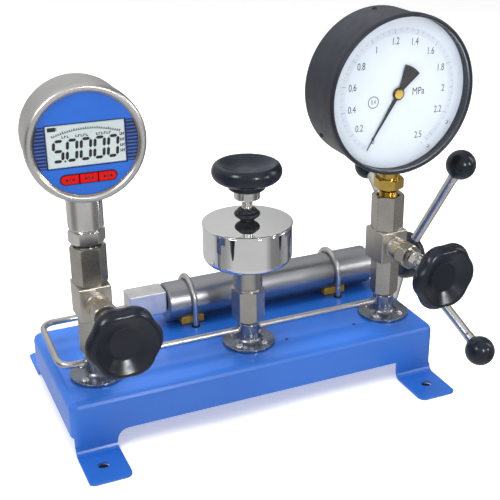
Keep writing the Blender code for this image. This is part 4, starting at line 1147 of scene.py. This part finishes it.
def make_stage():
    pale = look("pale_floor", (0.9, 0.9, 0.9), 0.6, Emission_Color=(1, 1, 1, 1), Emission_Strength=0.4)
    vary_colour(pale, noise(pale, 2), (0.895, 0.895, 0.895), (0.905, 0.905, 0.905))
    far = high("base_cover")
    bench = rounded_block((-4, far.x + 12 * MM), (-4, 6), (-0.11, 0), 2 * MM, 2)
    hole_x = far.x - 22.25 * MM
    hole_y = far.y - 25.5 * MM
    for x in (-hole_x, hole_x):
        for y in (-hole_y, hole_y):
            hole = lathe(mm((0, -60), (6.3, -60), (6.3, 10), (0, 10)), SLIM, 0)
            bench = cut(bench, moved(hole, at(x, y, 0)))
            # Painted shade: a black disc a few mm down each bench hole, so that the foot slots read dark
            # instead of showing the lit bench inside.
            hole_shade_discs = lathe(mm((0, -4), (6.2, -4), (6.2, -1), (0, -1)), SLIM, 0)
            stage_block("bench_hole_shade", moved(hole_shade_discs, at(x, y, 0)), looks["ink"])
    stage_block("bench", bench, pale)
    stage_block("floor", rounded_block((-40, 40), (-40, 40), (-0.2, -0.11), 2 * MM, 2), pale)


def area_light(name, place, target, size, power, mirrored=True, diffuse=True):
    light = bpy.data.lights.new(name, "AREA")
    light.shape = "RECTANGLE"
    light.size, light.size_y = size
    light.energy = power
    item = bpy.data.objects.new(name, light)
    bpy.context.scene.collection.objects.link(item)
    item.location = place
    item.rotation_euler = (Vector(target) - Vector(place)).to_track_quat("-Z", "Y").to_euler()
    item.visible_glossy = mirrored
    item.visible_diffuse = diffuse
    item.visible_transmission = diffuse


def make_lights():
    world = bpy.data.worlds.new("soft_studio")
    bpy.context.scene.world = world
    world.use_nodes = True
    nodes = world.node_tree.nodes
    links = world.node_tree.links
    place = nodes.new("ShaderNodeTexCoord")
    split = nodes.new("ShaderNodeSeparateXYZ")
    links.new(place.outputs["Generated"], split.inputs["Vector"])
    shades = []
    bands = {"Z": ((-0.6, 0.85), (0.0, 0.6), (0.2, 0.75), (0.8, 1.0)),
            "X": ((-0.98, 0.25), (-0.8, 1.0), (0.35, 1.0), (0.6, 0.4), (0.85, 0.35), (1.0, 0.9))}
    for axis, stops in bands.items():
        spread = nodes.new("ShaderNodeMapRange")
        spread.inputs["From Min"].default_value = -1.0
        links.new(split.outputs[axis], spread.inputs["Value"])
        ramp = nodes.new("ShaderNodeValToRGB")
        for index, (height, shade) in enumerate(stops):
            stop = ramp.color_ramp.elements[index] if index < 2 else ramp.color_ramp.elements.new(1.0)
            stop.position = (height + 1) / 2
            stop.color = (shade, shade, shade, 1)
        links.new(spread.outputs["Result"], ramp.inputs["Fac"])
        shades.append(ramp.outputs["Color"])
    blend = nodes.new("ShaderNodeMix")
    blend.data_type = "RGBA"
    blend.blend_type = "MULTIPLY"
    blend.inputs["Factor"].default_value = 1.0
    links.new(shades[0], blend.inputs["A"])
    links.new(shades[1], blend.inputs["B"])
    links.new(blend.outputs["Result"], nodes["Background"].inputs["Color"])
    nodes["Background"].inputs["Strength"].default_value = 0.75
    target = (0, 0, 0.12)
    area_light("key_left", (-1.2, -0.6, 1.3), target, (0.5, 0.5), 9)
    area_light("top", (0.1, 0.1, 1.8), target, (1.2, 0.8), 20, mirrored=False)
    area_light("right", (1.5, -0.4, 0.9), target, (0.3, 0.9), 4)
    area_light("back", (0.2, 1.3, 1.3), target, (1.2, 0.6), 16, mirrored=False)
    area_light("sheen_left", (0.16, -1.18, 0.6), (-0.16, -0.13, 0.14), (0.16, 0.22), 5, diffuse=False)
    area_light("sheen_right", (0.93, -0.97, 0.51), (0.17, -0.13, 0.14), (0.16, 0.22), 2.6, diffuse=False)


CAMERA_PLACE = (-359.7 * MM, -883.8 * MM, 567.1 * MM)
CAMERA_TURN = (23.27, 23.65, -0.55)     # degrees to the right, down and of roll
CAMERA_LENS = 71.54                     # mm, for a frame 36 mm wide


def make_camera():
    """Camera at the photograph's angle."""
    heading, tilt, roll = [math.radians(angle) for angle in CAMERA_TURN]
    forward = Vector((math.sin(heading) * math.cos(tilt), math.cos(heading) * math.cos(tilt),
            -math.sin(tilt)))
    right = Vector((math.cos(heading), -math.sin(heading), 0))
    up = right.cross(forward)
    side = right * math.cos(roll) + up * math.sin(roll)
    above = up * math.cos(roll) - right * math.sin(roll)
    camera = bpy.data.cameras.new("camera")
    camera.lens = CAMERA_LENS
    camera.sensor_width = 36
    item = bpy.data.objects.new("camera", camera)
    bpy.context.scene.collection.objects.link(item)
    turn = Matrix((side, above, -forward)).transposed()
    item.matrix_world = at(*CAMERA_PLACE) @ turn.to_4x4()
    bpy.context.scene.camera = item


make_base()
for side in ("left", "centre", "right"):
    make_flange(side)
for side in ("left", "right"):
    make_post_body(side)
    make_valve(side)
    make_sleeve(side)
make_cup_post()
make_digital_gauge()
make_dial_gauge()
make_pump()
make_handle()
make_clamps()
make_tubes()
make_oil_cup()
make_stage()
make_lights()
make_camera()
bpy.context.scene.view_settings.view_transform = "Standard"
